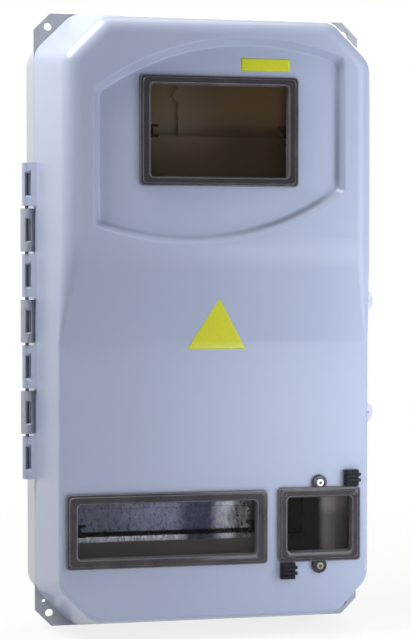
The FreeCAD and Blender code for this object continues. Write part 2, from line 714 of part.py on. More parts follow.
def hinge_knuckles(owner):
    """Knuckles of the door (first, third and so on) or of the base, each with its arm and slot."""
    door = owner == "door"
    radius = DOOR_KNUCKLE_RADIUS if door else BASE_KNUCKLE_RADIUS
    bore = PIN_DIAMETER + 2 * PIN_CLEARANCE
    solids = []
    for index in range(0 if door else 1, KNUCKLE_COUNT, 2):
        z0, z1 = knuckle_span(index)
        height = z1 - z0
        barrel = rod(Vector(HINGE_X, HINGE_Y, z0), Z_AXIS, 2 * radius, height)
        side = -SIDE_X + WALL / 2
        if door:
            lean = KNUCKLE_ARM_LENGTH * tangent(SIDE_DRAFT)
            profile = [Vector(HINGE_X, DOOR_RIM_Y, z0), Vector(side, DOOR_RIM_Y, z0),
                       Vector(side + lean, DOOR_RIM_Y - KNUCKLE_ARM_LENGTH, z0),
                       Vector(HINGE_X, HINGE_Y - radius, z0)]
        else:
            profile = [Vector(HINGE_X, RIM_Y, z0), Vector(side, RIM_Y, z0),
                       Vector(side, RIM_Y + KNUCKLE_ARM_LENGTH, z0),
                       Vector(HINGE_X, HINGE_Y + radius, z0)]
        arm = polygon_face(profile).extrude(Vector(0, 0, height))
        hole = rod(Vector(HINGE_X, HINGE_Y, z0), Z_AXIS, bore, height)
        solids.append(barrel.fuse(arm).cut(knuckle_slot((z0 + z1) / 2, radius)).cut(hole))
    return solids


def hinge_pin():
    """Steel pin through all knuckles, its ends bevelled."""
    length = HINGE_LENGTH - 2 * PIN_END_GAP
    pin = rod(Vector(HINGE_X, HINGE_Y, -length / 2), Z_AXIS, PIN_DIAMETER, length)
    return pin.makeChamfer(PIN_BEVEL, [e for e in pin.Edges if e.BoundBox.ZLength < SAME])


def corner_lugs():
    """Four thin plates that fill the cut corners at the rim, each with its fixing hole."""
    w = RIM_WIDTH / 2
    h = RIM_HEIGHT / 2
    lugs = []
    for sx in (-1, 1):
        for sz in (-1, 1):
            root = CORNER_LEG + LUG_ROOT
            points = [(w, h - LUG_CORNER_LEG), (w - LUG_CORNER_LEG, h), (w - root, h), (w, h - root)]
            outline = [Vector(sx * x, RIM_Y, sz * z) for x, z in points]
            lug = polygon_face(outline).extrude(Vector(0, LUG_THICKNESS, 0))
            hole = Vector(sx * (w - LUG_HOLE_FROM_SIDE), RIM_Y, sz * (h - LUG_HOLE_FROM_END))
            lug = lug.cut(rod(hole, Y_AXIS, LUG_HOLE_DIAMETER, LUG_THICKNESS))
            if sx < 0 and sz < 0:
                seal = Vector(SEAL_HOLE_FROM_SIDE - w, RIM_Y, SEAL_HOLE_FROM_END - h)
                lug = lug.cut(rod(seal, Y_AXIS, SEAL_HOLE_DIAMETER, LUG_THICKNESS))
            lugs.append(lug)
    return lugs


def panel_screw_places():
    """Four fixing points of the mounting panel."""
    x = PANEL_WIDTH / 2 - PANEL_SCREW_INSET
    return [(sx * x, z) for sx in (-1, 1)
            for z in (PANEL_TOP_Z - PANEL_SCREW_INSET, PANEL_BOTTOM_Z + PANEL_SCREW_INSET)]


def bracket_places():
    """X of the two rail brackets."""
    reach = RAIL_LENGTH / 2 - BRACKET_FROM_RAIL_END
    return [RAIL_X - reach, RAIL_X + reach]


def bracket_screw_places():
    """Screws through the brackets' feet."""
    return [(x, RAIL_Z + (BRACKET_FOOT - BRACKET_SHEET) / 2) for x in bracket_places()]


def rail_screw_places():
    """Screws through the rail's web into the brackets' seats."""
    return [(x, RAIL_Z - BRACKET_SHEET / 2 - BRACKET_SEAT / 4) for x in bracket_places()]


def holder_screw_places():
    """Screws through the foot plate of the terminal holder."""
    return [(TERMINAL_X, TERMINAL_Z + offset) for offset in spread(HOLDER_SCREW_COUNT, HOLDER_SCREW_SPACING)]


def grommet_places():
    """Centres of the cable entries in the floor of the base."""
    return [Vector(x, RIM_Y / 2, -RIM_HEIGHT / 2) for x in spread(GROMMET_COUNT, GROMMET_SPACING)]


def base_tray():
    """Moulded tray with a gasket ledge, corner lugs, hinge knuckles, bosses and lock bearings."""
    tray = octagon_prism(0, 0, RIM_Y)
    tray = tray.makeFillet(BACK_EDGE_RADIUS, edges_on_plane(tray, 0))
    for lug in corner_lugs():
        tray = tray.fuse(lug)
    ledge_y = RIM_Y + LEDGE_THICKNESS
    tray = tray.cut(octagon_prism(WALL, BACK_IN_Y, ledge_y))
    tray = tray.cut(octagon_prism(LEDGE_WIDTH, ledge_y, RIM_Y))
    groove = octagon_prism(GASKET_FROM_EDGE, RIM_Y, RIM_Y + GASKET_HEIGHT - PARTING_GAP)
    groove = groove.cut(octagon_prism(GASKET_FROM_EDGE + GASKET_WIDTH, RIM_Y, RIM_Y + GASKET_HEIGHT))
    tray = tray.cut(groove)

    screw_bore = PANEL_SCREW_DIAMETER + 2 * SCREW_CLEARANCE
    for x, z in panel_screw_places():
        start = Vector(x, BACK_IN_Y, z)
        tray = tray.fuse(rod(start, -Y_AXIS, PANEL_BOSS_DIAMETER, PANEL_STANDOFF))
        top = Vector(x, BACK_IN_Y - PANEL_STANDOFF, z)
        tray = tray.cut(rod(top, Y_AXIS, screw_bore, PANEL_SCREW_LENGTH))
    for x, z in bracket_screw_places() + holder_screw_places():
        tray = tray.fuse(rod(Vector(x, BACK_IN_Y, z), -Y_AXIS, BOSS_DIAMETER, BOSS_HEIGHT))
        tray = tray.cut(rod(Vector(x, BOSS_TOP_Y, z), Y_AXIS, SCREW_BORE, SCREW_LENGTH))
    rib = box(BACK_RIB_X - BACK_RIB_WIDTH / 2, BACK_RIB_X + BACK_RIB_WIDTH / 2, BACK_IN_Y,
              BACK_IN_Y - BACK_RIB_HEIGHT, PANEL_TOP_Z, BACK_RIB_TOP)
    rib_boss = rod(Vector(BACK_RIB_X, BACK_IN_Y, (PANEL_TOP_Z + BACK_RIB_TOP) / 2), -Y_AXIS,
                   PANEL_BOSS_DIAMETER, BACK_RIB_HEIGHT)
    tray = tray.fuse(rib).fuse(rib_boss)

    boss_start = SIDE_X - WALL
    for z in LOCK_HEIGHTS.values():
        boss = rod(Vector(boss_start, LOCK_Y, z), -X_AXIS, LOCK_BOSS_DIAMETER, LOCK_BOSS_LENGTH)
        bore = rod(Vector(SIDE_X, LOCK_Y, z), -X_AXIS, LOCK_SHAFT_DIAMETER + 2 * LOCK_CLEARANCE,
                   WALL + LOCK_BOSS_LENGTH)
        tray = tray.fuse(boss).cut(bore)
    for place in grommet_places():
        tray = tray.cut(rod(place, Z_AXIS, GROMMET_HOLE_DIAMETER, WALL))
    for knuckle in hinge_knuckles("base"):
        tray = tray.fuse(knuckle)
    return tray.removeSplitter()


def rim_gasket():
    """Foam cord in the groove of the base's ledge."""
    back = RIM_Y + GASKET_HEIGHT - PARTING_GAP
    front = back - GASKET_HEIGHT
    ring = octagon_prism(GASKET_FROM_EDGE, back, front)
    return ring.cut(octagon_prism(GASKET_FROM_EDGE + GASKET_WIDTH, back, front))


def cam_inner_x():
    """X of the cam face that looks into the box."""
    return SIDE_X - WALL - LOCK_BOSS_LENGTH - LOCK_END_GAP - CAM_THICKNESS


def keeper_seat_x():
    """X of the face where a keeper sits on its boss, clear of the lock cam."""
    return cam_inner_x() - KEEPER_GAP_BESIDE_CAM


def keeper_screw_place(lock_z):
    """Point on a keeper's seat where its screw goes into the boss."""
    return Vector(keeper_seat_x(), DOOR_RIM_Y - KEEPER_SCREW_AHEAD, keeper_middle_z(lock_z))


def keeper_middle_z(lock_z):
    """Height of a keeper's middle, just below the lock's axis."""
    return lock_z - KEEPER_BELOW_LOCK - KEEPER_HEIGHT / 2


def keeper_boss(lock_z):
    """Round boss from the door's right wall in to the keeper's seat, with the screw's bore."""
    seat = keeper_screw_place(lock_z)
    wall_x = SIDE_X - WALL / 2 - (KEEPER_SCREW_AHEAD + KEEPER_BOSS_DIAMETER / 2) * tangent(SIDE_DRAFT)
    boss = rod(seat, X_AXIS, KEEPER_BOSS_DIAMETER, wall_x - seat.x)
    return boss.cut(rod(seat, X_AXIS, SCREW_BORE, KEEPER_SCREW_LENGTH - KEEPER_THICKNESS))


def keeper(lock_z):
    """Flat hook: a tail on the boss, a strip back into the base and a foot behind the lock cam."""
    seat = keeper_screw_place(lock_z)
    inner = seat.x - KEEPER_THICKNESS
    low = seat.z - KEEPER_HEIGHT / 2
    high = seat.z + KEEPER_HEIGHT / 2
    foot_front = LOCK_Y + CAM_WIDTH / 2 + KEEPER_GAP_BEHIND_CAM
    foot_back = foot_front + KEEPER_FOOT_THICKNESS
    strip = box(inner, seat.x, foot_back, seat.y, low, high)
    foot = box(inner, seat.x + KEEPER_FOOT, foot_back, foot_front, low, high)
    tail = box(inner, seat.x, seat.y - KEEPER_TAIL, seat.y + KEEPER_TAIL, seat.z - KEEPER_TAIL_HEIGHT / 2,
               seat.z + KEEPER_TAIL_HEIGHT / 2)
    hole = rod(Vector(inner, seat.y, seat.z), X_AXIS, SCREW_BORE, KEEPER_THICKNESS)
    return strip.fuse(foot).fuse(tail).cut(hole).removeSplitter()


def keeper_screws():
    """One screw through each keeper's tail."""
    places = [keeper_screw_place(z) - X_AXIS * KEEPER_THICKNESS for z in LOCK_HEIGHTS.values()]
    return Part.makeCompound([
        pan_screw(place, X_AXIS, SCREW_DIAMETER, KEEPER_SCREW_LENGTH, SCREW_HEAD_DIAMETER, SCREW_HEAD_HEIGHT)
        for place in places])


def door_shell():
    """Hollow two-level door with the recess, window openings, bosses and hinge knuckles."""
    outside = door_form(0)
    inside = door_form(WALL)
    ledge_y = DOOR_RIM_Y - DOOR_LEDGE_THICKNESS
    behind_ledge = box(-RIM_WIDTH, RIM_WIDTH, ledge_y, UPPER_FRONT_Y, -RIM_HEIGHT, RIM_HEIGHT)
    cavity = inside.common(behind_ledge).cut(recess_tool(WALL / 2, WALL))
    shell = round_recess_lip(outside.cut(recess_tool(0, 0))).cut(cavity)
    shell = shell.cut(octagon_prism(LEDGE_WIDTH, DOOR_RIM_Y, ledge_y))

    bore = COVER_SCREW_DIAMETER + 2 * SCREW_CLEARANCE
    for x, z in cover_screw_places():
        start = Vector(x, LOWER_FRONT_Y + WALL, z)
        shell = shell.fuse(rod(start, Y_AXIS, COVER_BOSS_DIAMETER, COVER_SCREW_LENGTH - WALL))
        shell = shell.cut(rod(Vector(x, LOWER_FRONT_Y, z), Y_AXIS, bore, COVER_SCREW_LENGTH))
    for window in WINDOWS.values():
        shell = shell.cut(window_opening(window))
    for z in LOCK_HEIGHTS.values():
        shell = shell.fuse(keeper_boss(z))
    for knuckle in hinge_knuckles("door"):
        shell = shell.fuse(knuckle)
    return shell.removeSplitter()


def lock_knob(z):
    """Half-moon thumb turn with a seal hole, its flange, shaft and cam stem in one moulding."""
    start = Vector(SIDE_X, LOCK_Y, z)
    flange = rod(start, X_AXIS, LOCK_FLANGE_DIAMETER, LOCK_FLANGE_THICKNESS)
    tip = SIDE_X + WING_REACH
    centre = tip - WING_RADIUS
    y0 = LOCK_Y - WING_THICKNESS / 2
    disc = rod(Vector(centre, y0, z), Y_AXIS, 2 * WING_RADIUS, WING_THICKNESS)
    neck = box(SIDE_X, centre, y0, y0 + WING_THICKNESS, z - WING_NECK_WIDTH / 2, z + WING_NECK_WIDTH / 2)
    wing = disc.common(box(SIDE_X, tip, y0, y0 + WING_THICKNESS, z - WING_RADIUS, z + WING_RADIUS)).fuse(neck)
    seal = rod(Vector(tip - WING_HOLE_FROM_TIP, y0, z), Y_AXIS, WING_HOLE_DIAMETER, WING_THICKNESS)
    shaft_length = WALL + LOCK_BOSS_LENGTH + LOCK_END_GAP
    shaft = rod(start, -X_AXIS, LOCK_SHAFT_DIAMETER, shaft_length)
    stem = rod(start - X_AXIS * shaft_length, -X_AXIS, LOCK_STEM_DIAMETER, CAM_THICKNESS)
    pilot = rod(Vector(cam_inner_x(), LOCK_Y, z), X_AXIS, CAM_SCREW_DIAMETER + 2 * SCREW_CLEARANCE,
                CAM_SCREW_LENGTH)
    return flange.fuse(wing).fuse(shaft).fuse(stem).cut(seal).cut(pilot).removeSplitter()


def lock_cam(z):
    """Steel arm on the shaft's end: it points to the front when open and turns down to lock."""
    inner = cam_inner_x()
    hub = rod(Vector(inner, LOCK_Y, z), X_AXIS, 2 * CAM_HUB_RADIUS, CAM_THICKNESS)
    arm = box(inner, inner + CAM_THICKNESS, LOCK_Y, LOCK_Y - CAM_LENGTH, z - CAM_WIDTH / 2, z + CAM_WIDTH / 2)
    hole = rod(Vector(inner, LOCK_Y, z), X_AXIS, LOCK_STEM_DIAMETER + 2 * LOCK_CLEARANCE, CAM_THICKNESS)
    return hub.fuse(arm).cut(hole).removeSplitter()


def lock_cam_screw(z):
    """Screw that holds the cam on the stem."""
    return pan_screw(Vector(cam_inner_x(), LOCK_Y, z), X_AXIS, CAM_SCREW_DIAMETER, CAM_SCREW_LENGTH,
                     CAM_SCREW_HEAD_DIAMETER, CAM_SCREW_HEAD_HEIGHT)


def mounting_panel():
    """Grey plate on four bosses, with three upright slots for the meter's screws."""
    y0 = BACK_IN_Y - PANEL_STANDOFF
    y1 = y0 - PANEL_THICKNESS
    height = PANEL_TOP_Z - PANEL_BOTTOM_Z
    plate = rounded_plate(PANEL_WIDTH, height, 0, PANEL_BOTTOM_Z + height / 2, y0, y1, PANEL_CORNER_RADIUS)
    for x in spread(PANEL_SLOT_COUNT, PANEL_SLOT_SPACING):
        plate = plate.cut(upright_slot(x, PANEL_SLOT_Z, PANEL_SLOT_WIDTH, PANEL_SLOT_LENGTH, y0, y1))
    for x, z in panel_screw_places():
        bore = PANEL_SCREW_DIAMETER + 2 * SCREW_CLEARANCE
        plate = plate.cut(rod(Vector(x, y1, z), Y_AXIS, bore, PANEL_THICKNESS))
    return plate


def mounting_panel_screws():
    """Four pan-head screws of the mounting panel."""
    y = BACK_IN_Y - PANEL_STANDOFF - PANEL_THICKNESS
    return Part.makeCompound([
        pan_screw(Vector(x, y, z), Y_AXIS, PANEL_SCREW_DIAMETER, PANEL_SCREW_LENGTH,
                  PANEL_SCREW_HEAD_DIAMETER, PANEL_SCREW_HEAD_HEIGHT)
        for x, z in panel_screw_places()])


def rail_back_y():
    """Depth of the rail's back, where the brackets carry it."""
    return LOWER_FRONT_Y + RAIL_FRONT + RAIL_DEPTH


def device_rail():
    """Top-hat rail of folded sheet: two lips, two short walls and the web between them."""
    back = rail_back_y()
    front = back - RAIL_DEPTH
    half = RAIL_HEIGHT / 2
    channel = RAIL_CHANNEL / 2
    sheet = RAIL_SHEET
    half_section = [(half, front), (half, front + sheet), (channel + sheet, front + sheet),
                    (channel + sheet, back)]
    inner_section = [(channel, back - sheet), (channel, front)]
    right = half_section
    left = [(-z, y) for z, y in reversed(half_section)]
    inner_left = [(-z, y) for z, y in inner_section[::-1]]
    section = right + left + inner_left + inner_section
    points = [Vector(RAIL_X - RAIL_LENGTH / 2, y, RAIL_Z + z) for z, y in section]
    rail = polygon_face(points).extrude(Vector(RAIL_LENGTH, 0, 0))
    for x, z in rail_screw_places():
        rail = rail.cut(rod(Vector(x, back, z), -Y_AXIS, SCREW_BORE, RAIL_SHEET))
    return rail


def rail_brackets():
    """Two Z-folded sheets from the tray's bosses out to the rail."""
    top = rail_back_y()
    web = RAIL_Z - BRACKET_SHEET / 2
    brackets = []
    for x in bracket_places():
        x0 = x - BRACKET_WIDTH / 2
        x1 = x + BRACKET_WIDTH / 2
        foot = box(x0, x1, BOSS_TOP_Y, BOSS_TOP_Y - BRACKET_SHEET, web, web + BRACKET_FOOT)
        upright = box(x0, x1, BOSS_TOP_Y, top, web, web + BRACKET_SHEET)
        seat = box(x0, x1, top, top + BRACKET_SHEET, web + BRACKET_SHEET, web + BRACKET_SHEET - BRACKET_SEAT)
        brackets.append(foot.fuse(upright).fuse(seat).removeSplitter())
    folded = Part.makeCompound(brackets)
    for x, z in bracket_screw_places():
        folded = folded.cut(rod(Vector(x, BOSS_TOP_Y, z), -Y_AXIS, SCREW_BORE, BRACKET_SHEET))
    for x, z in rail_screw_places():
        folded = folded.cut(rod(Vector(x, top, z), Y_AXIS, SCREW_BORE, BRACKET_SHEET))
    return folded


def seat_screws(places, seat_y, length):
    """Pan-head screws that run from a seat towards the wall."""
    return Part.makeCompound([
        pan_screw(Vector(x, seat_y, z), Y_AXIS, SCREW_DIAMETER, length, SCREW_HEAD_DIAMETER,
                  SCREW_HEAD_HEIGHT)
        for x, z in places])


def rail_screws():
    """Screws from behind the brackets' seats, flush with the front of the rail's web."""
    seat_y = rail_back_y() + BRACKET_SHEET
    length = BRACKET_SHEET + RAIL_SHEET
    return Part.makeCompound([
        pan_screw(Vector(x, seat_y, z), -Y_AXIS, SCREW_DIAMETER, length, SCREW_HEAD_DIAMETER,
                  SCREW_HEAD_HEIGHT)
        for x, z in rail_screw_places()])


def terminal_holder():
    """Black insulating holder: a foot plate and two posts that carry the brass bar."""
    x0 = TERMINAL_X - HOLDER_WIDTH / 2
    x1 = TERMINAL_X + HOLDER_WIDTH / 2
    plate_y = BOSS_TOP_Y - HOLDER_PLATE
    holder = rounded_plate(HOLDER_WIDTH, HOLDER_LENGTH, TERMINAL_X, TERMINAL_Z, BOSS_TOP_Y, plate_y,
                           HOLDER_CORNER_RADIUS)
    for x, z in holder_screw_places():
        holder = holder.cut(rod(Vector(x, plate_y, z), Y_AXIS, SCREW_BORE, HOLDER_PLATE))
    for side in (-1, 1):
        centre = TERMINAL_Z + side * (HOLDER_LENGTH - HOLDER_POST_LENGTH) / 2
        post = box(x0, x1, plate_y, plate_y - HOLDER_POST_HEIGHT, centre - HOLDER_POST_LENGTH / 2,
                   centre + HOLDER_POST_LENGTH / 2)
        holder = holder.fuse(post)
    return holder.removeSplitter()


def terminal_bar_back_y():
    """Depth of the brass bar's back face, on top of the holder's posts."""
    return BOSS_TOP_Y - HOLDER_PLATE - HOLDER_POST_HEIGHT


def terminal_screw_places():
    """Clamping screws, evenly spread along the bar."""
    pitch = BAR_LENGTH / BAR_SCREW_COUNT
    return [TERMINAL_Z + offset for offset in spread(BAR_SCREW_COUNT, pitch)]


def terminal_bar():
    """Brass bar with bores for the clamping screws."""
    back = terminal_bar_back_y()
    front = back - BAR_HEIGHT
    bar = box(TERMINAL_X - BAR_WIDTH / 2, TERMINAL_X + BAR_WIDTH / 2, back, front,
              TERMINAL_Z - BAR_LENGTH / 2, TERMINAL_Z + BAR_LENGTH / 2)
    for z in terminal_screw_places():
        bore = BAR_SCREW_DIAMETER + 2 * SCREW_CLEARANCE
        bar = bar.cut(rod(Vector(TERMINAL_X, front, z), Y_AXIS, bore, BAR_SCREW_SINK))
    return bar


def terminal_bar_screws():
    """Clamping screws of the brass bar."""
    front = terminal_bar_back_y() - BAR_HEIGHT
    return Part.makeCompound([
        pan_screw(Vector(TERMINAL_X, front, z), Y_AXIS, BAR_SCREW_DIAMETER, BAR_SCREW_SINK,
                  BAR_SCREW_HEAD_DIAMETER, BAR_SCREW_HEAD_HEIGHT)
        for z in terminal_screw_places()])


def terminal_cover():
    """Black cover that snaps over the holder's posts; its right side is open between them for the wires."""
    bar_back = terminal_bar_back_y()
    bar_front = bar_back - BAR_HEIGHT
    inner_front = bar_front - BAR_SCREW_HEAD_HEIGHT - BAR_COVER_HEAD_GAP
    front = inner_front - BAR_COVER_WALL
    back = bar_back + BAR_COVER_GRIP
    inner = max(HOLDER_WIDTH, BAR_WIDTH) / 2 + BAR_COVER_GAP
    outer = inner + BAR_COVER_WALL
    low = TERMINAL_Z - HOLDER_LENGTH / 2
    high = TERMINAL_Z + HOLDER_LENGTH / 2
    cover = box(TERMINAL_X - outer, TERMINAL_X + outer, back, front, low, high)
    cover = cover.makeFillet(BAR_COVER_EDGE_RADIUS, edges_on_plane(cover, front))
    cover = cover.cut(box(TERMINAL_X - inner, TERMINAL_X + inner, back, inner_front, low, high))
    return cover.cut(box(TERMINAL_X + inner, TERMINAL_X + outer, back, bar_front, low + HOLDER_POST_LENGTH,
                         high - HOLDER_POST_LENGTH))


def cable_grommets():
    """Rubber grommets: two flanges that grip the floor of the base, and a thin membrane."""
    grommets = []
    for place in grommet_places():
        neck = rod(place - Z_AXIS * GROMMET_FLANGE, Z_AXIS, GROMMET_HOLE_DIAMETER, WALL + 2 * GROMMET_FLANGE)
        outer = rod(place, -Z_AXIS, GROMMET_FLANGE_DIAMETER, GROMMET_FLANGE)
        inner = rod(place + Z_AXIS * WALL, Z_AXIS, GROMMET_FLANGE_DIAMETER, GROMMET_FLANGE)
        hollow = rod(place - Z_AXIS * (GROMMET_FLANGE - GROMMET_MEMBRANE), Z_AXIS,
                     GROMMET_HOLE_DIAMETER - 2 * GROMMET_WALL, WALL + 2 * GROMMET_FLANGE)
        grommets.append(neck.fuse(outer).fuse(inner).cut(hollow).removeSplitter())
    return Part.makeCompound(grommets)


def all_nodes():
    """Every piece by the name of its node."""
    blocks = seal_block_places()
    nodes = {
        "base_tray": base_tray(),
        "rim_gasket": rim_gasket(),
        "hinge_pin": hinge_pin(),
        "mounting_panel": mounting_panel(),
        "mounting_panel_screws": mounting_panel_screws(),
        "device_rail": device_rail(),
        "rail_screws": rail_screws(),
        "rail_brackets": rail_brackets(),
        "rail_bracket_screws": seat_screws(bracket_screw_places(), BOSS_TOP_Y - BRACKET_SHEET, SCREW_LENGTH),
        "terminal_holder": terminal_holder(),
        "terminal_holder_screws": seat_screws(holder_screw_places(), BOSS_TOP_Y - HOLDER_PLATE, SCREW_LENGTH),
        "terminal_bar": terminal_bar(),
        "terminal_bar_screws": terminal_bar_screws(),
        "terminal_cover": terminal_cover(),
        "cable_grommets": cable_grommets(),
        "door_shell": door_shell(),
        "breaker_cover_screws": cover_screws(),
        "keeper_screws": keeper_screws(),
    }
    for name, window in WINDOWS.items():
        ears = cover_screw_places() if name == "breaker" else []
        nodes[name + "_window"] = window_tray(window, ears)
        nodes[name + "_window_seal"] = window_seal(window)
    for name in ("upper", "module"):
        nodes[name + "_window_clips"] = window_clips(WINDOWS[name])
    for name, (x, z) in blocks.items():
        nodes[name + "_seal_block"] = seal_block(x, z)
    for name, z in LOCK_HEIGHTS.items():
        nodes[name + "_lock_knob"] = lock_knob(z)
        nodes[name + "_lock_cam"] = lock_cam(z)
        nodes[name + "_lock_cam_screw"] = lock_cam_screw(z)
        nodes[name + "_keeper"] = keeper(z)
    return nodes


os.makedirs("parts", exist_ok=True)
for node, shape in all_nodes().items():
    shape.exportStep(os.path.join("parts", node + ".step"))
    print(node, "solids", len(shape.Solids), "valid", shape.isValid(), "volume", round(shape.Volume))
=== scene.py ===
# %% [markdown]
# # A wall box for an electricity meter
#
# The box is already built: every solid piece comes in as a fixed frame, at its real size and place.
# This lesson gives it its looks. It sets the camera and the light, writes a finish for each material,
# and adds the thin pieces that lie on the surface.

# %% Load the solid model
import math

import bpy
import numpy as np
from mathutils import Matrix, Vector


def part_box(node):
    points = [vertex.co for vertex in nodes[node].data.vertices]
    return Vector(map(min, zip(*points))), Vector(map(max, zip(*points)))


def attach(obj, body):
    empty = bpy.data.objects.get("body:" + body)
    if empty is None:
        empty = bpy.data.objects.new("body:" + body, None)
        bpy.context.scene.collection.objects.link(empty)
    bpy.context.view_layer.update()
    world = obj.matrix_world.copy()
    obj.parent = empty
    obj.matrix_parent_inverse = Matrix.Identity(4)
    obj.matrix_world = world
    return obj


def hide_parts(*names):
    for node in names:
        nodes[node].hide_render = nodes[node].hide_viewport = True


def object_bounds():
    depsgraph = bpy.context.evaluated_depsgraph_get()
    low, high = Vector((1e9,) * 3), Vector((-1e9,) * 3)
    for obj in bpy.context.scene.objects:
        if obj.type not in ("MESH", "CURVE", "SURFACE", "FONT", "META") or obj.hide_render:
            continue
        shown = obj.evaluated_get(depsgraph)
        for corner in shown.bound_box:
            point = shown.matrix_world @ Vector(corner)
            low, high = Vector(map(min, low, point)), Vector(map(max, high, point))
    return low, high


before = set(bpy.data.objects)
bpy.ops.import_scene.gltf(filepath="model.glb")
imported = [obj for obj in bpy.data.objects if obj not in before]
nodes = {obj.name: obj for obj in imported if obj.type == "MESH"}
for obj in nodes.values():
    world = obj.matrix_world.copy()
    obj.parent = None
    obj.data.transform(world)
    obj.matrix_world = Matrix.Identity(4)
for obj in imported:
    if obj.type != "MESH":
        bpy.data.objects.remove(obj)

MM = 0.001
cad_low, cad_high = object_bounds()
print("solid box in mm", [round(v / MM, 1) for v in cad_high - cad_low])

# %% [markdown]
# ## The camera
#
# The photograph was taken from the left and almost level. A camera was fitted to the corners of the box:
# how far it turns about the upright, how high it stands, its distance and its focal length in pixels.
# The centre of the lens lies a little off the middle of the picture, so the camera has a small shift.

# %% Camera at the photograph's angle
IMAGE_WIDTH = 411
IMAGE_HEIGHT = 639
CAMERA_TURN = math.radians(12.32)
CAMERA_RISE = math.radians(1.52)
CAMERA_DISTANCE = 1.6505
CAMERA_TARGET = Vector((0, -0.060, 0))
FOCAL_PIXELS = 1751.71
LENS_CENTRE = (198.16, 320.18)
SENSOR_HEIGHT = 24.0

camera_data = bpy.data.cameras.new("photo_camera")
camera_data.sensor_fit = "VERTICAL"
camera_data.sensor_height = SENSOR_HEIGHT
camera_data.lens = SENSOR_HEIGHT * FOCAL_PIXELS / IMAGE_HEIGHT
camera_data.shift_x = (IMAGE_WIDTH / 2 - LENS_CENTRE[0]) / IMAGE_HEIGHT
camera_data.shift_y = (LENS_CENTRE[1] - IMAGE_HEIGHT / 2) / IMAGE_HEIGHT
camera = bpy.data.objects.new("photo_camera", camera_data)
bpy.context.scene.collection.objects.link(camera)
towards_camera = Vector((-math.sin(CAMERA_TURN) * math.cos(CAMERA_RISE),
                         -math.cos(CAMERA_TURN) * math.cos(CAMERA_RISE), math.sin(CAMERA_RISE)))
camera.location = CAMERA_TARGET + CAMERA_DISTANCE * towards_camera
camera.rotation_euler = (-towards_camera).to_track_quat("-Z", "Y").to_euler()
bpy.context.scene.camera = camera
print("lens", round(camera_data.lens, 1), "mm at", [round(v, 3) for v in camera.location])

# %% [markdown]
# ## Shader maths as plain expressions
#
# A finish is a small tree of nodes. Wiring it by hand hides the idea, so one class wraps a socket and
# lets plus, minus and times add the Math nodes. Every other node comes from one method that takes the
# node's type, its settings and what goes into its sockets.

# %% One class for shader values
# Sockets of the Mix node when it mixes colours
MIX_FACTOR = 0
MIX_FIRST = 6
MIX_SECOND = 7
MIX_RESULT = 2


class Shade:
    """A socket in a material's tree. Arithmetic on it adds Math nodes."""

    def __init__(self, tree, socket=None):
        self.tree = tree
        self.socket = socket

    def feed(self, target, value):
        """Link a shade to a socket, or set a plain number, colour or vector on it."""
        if isinstance(value, Shade):
            self.tree.links.new(value.socket, target)
        else:
            target.default_value = value

    def node(self, kind, settings, inputs, output=0):
        """Add a node: settings first, then its sockets by name or number; gives one output."""
        made = self.tree.nodes.new(kind)
        stops = settings.pop("stops", None)
        for name, value in settings.items():
            setattr(made, name, value)
        if stops:
            ramp = made.color_ramp
            while len(ramp.elements) < len(stops):
                ramp.elements.new(1.0)
            for element, (place, colour) in zip(ramp.elements, stops):
                element.position = place
                element.color = (*colour, 1.0)
        for key, value in inputs.items():
            self.feed(made.inputs[key], value)
        return Shade(self.tree, made.outputs[output])

    def math(self, operation, first, second):
        """One Math node on two values."""
        return self.node("ShaderNodeMath", {"operation": operation}, {0: first, 1: second})

    def __add__(self, other):
        return self.math("ADD", self, other)

    __radd__ = __add__

    def __sub__(self, other):
        return self.math("SUBTRACT", self, other)

    def __rsub__(self, other):
        return self.math("SUBTRACT", other, self)

    def __mul__(self, other):
        return self.math("MULTIPLY", self, other)

    __rmul__ = __mul__

    def mix(self, low, high):
        """This value blends one colour into another."""
        return self.node("ShaderNodeMix", {"data_type": "RGBA"},
                         {MIX_FACTOR: self, MIX_FIRST: low, MIX_SECOND: high}, MIX_RESULT)

    def tinted(self, tone):
        """This colour times another, channel by channel."""
        return self.node("ShaderNodeMix", {"data_type": "RGBA", "blend_type": "MULTIPLY"},
                         {MIX_FACTOR: 1.0, MIX_FIRST: self, MIX_SECOND: tone}, MIX_RESULT)

    def place(self, stretch=(1, 1, 1)):
        """Object coordinates, stretched along each axis."""
        source = self.node("ShaderNodeTexCoord", {}, {}, "Object")
        return self.node("ShaderNodeMapping", {}, {"Vector": source, "Scale": stretch})

    def noise(self, per_metre, detail, stretch=(1, 1, 1)):
        """Cloudy noise from 0 to 1."""
        return self.node("ShaderNodeTexNoise", {},
                         {"Vector": self.place(stretch), "Scale": per_metre, "Detail": detail})

    def share(self, low, high):
        """How far this value has gone from low to high, held between 0 and 1."""
        return self.node("ShaderNodeMapRange", {"clamp": True},
                         {"Value": self, "From Min": low, "From Max": high})

    def tones(self, low, high, stops):
        """Tones of this value as it goes from low to high."""
        return self.node("ShaderNodeValToRGB", {"stops": stops}, {"Fac": self.share(low, high)})

    def along(self, axis):
        """One of the object's coordinates."""
        return self.node("ShaderNodeSeparateXYZ", {}, {"Vector": self.place()}, axis)

    def tones_along(self, node, axis, stops):
        """Tones along one axis of a solid node's box, from its low side to its high side."""
        low, high = (getattr(corner, axis.lower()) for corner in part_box(node))
        return self.along(axis).tones(low, high, stops)

    def bump(self, height, strength, depth):
        """Surface normal tipped by a height, with the depth in millimetres."""
        return self.node("ShaderNodeBump", {},
                         {"Height": height, "Strength": strength, "Distance": depth * MM})


print("shader helpers", [name for name in vars(Shade) if not name.startswith("_")])


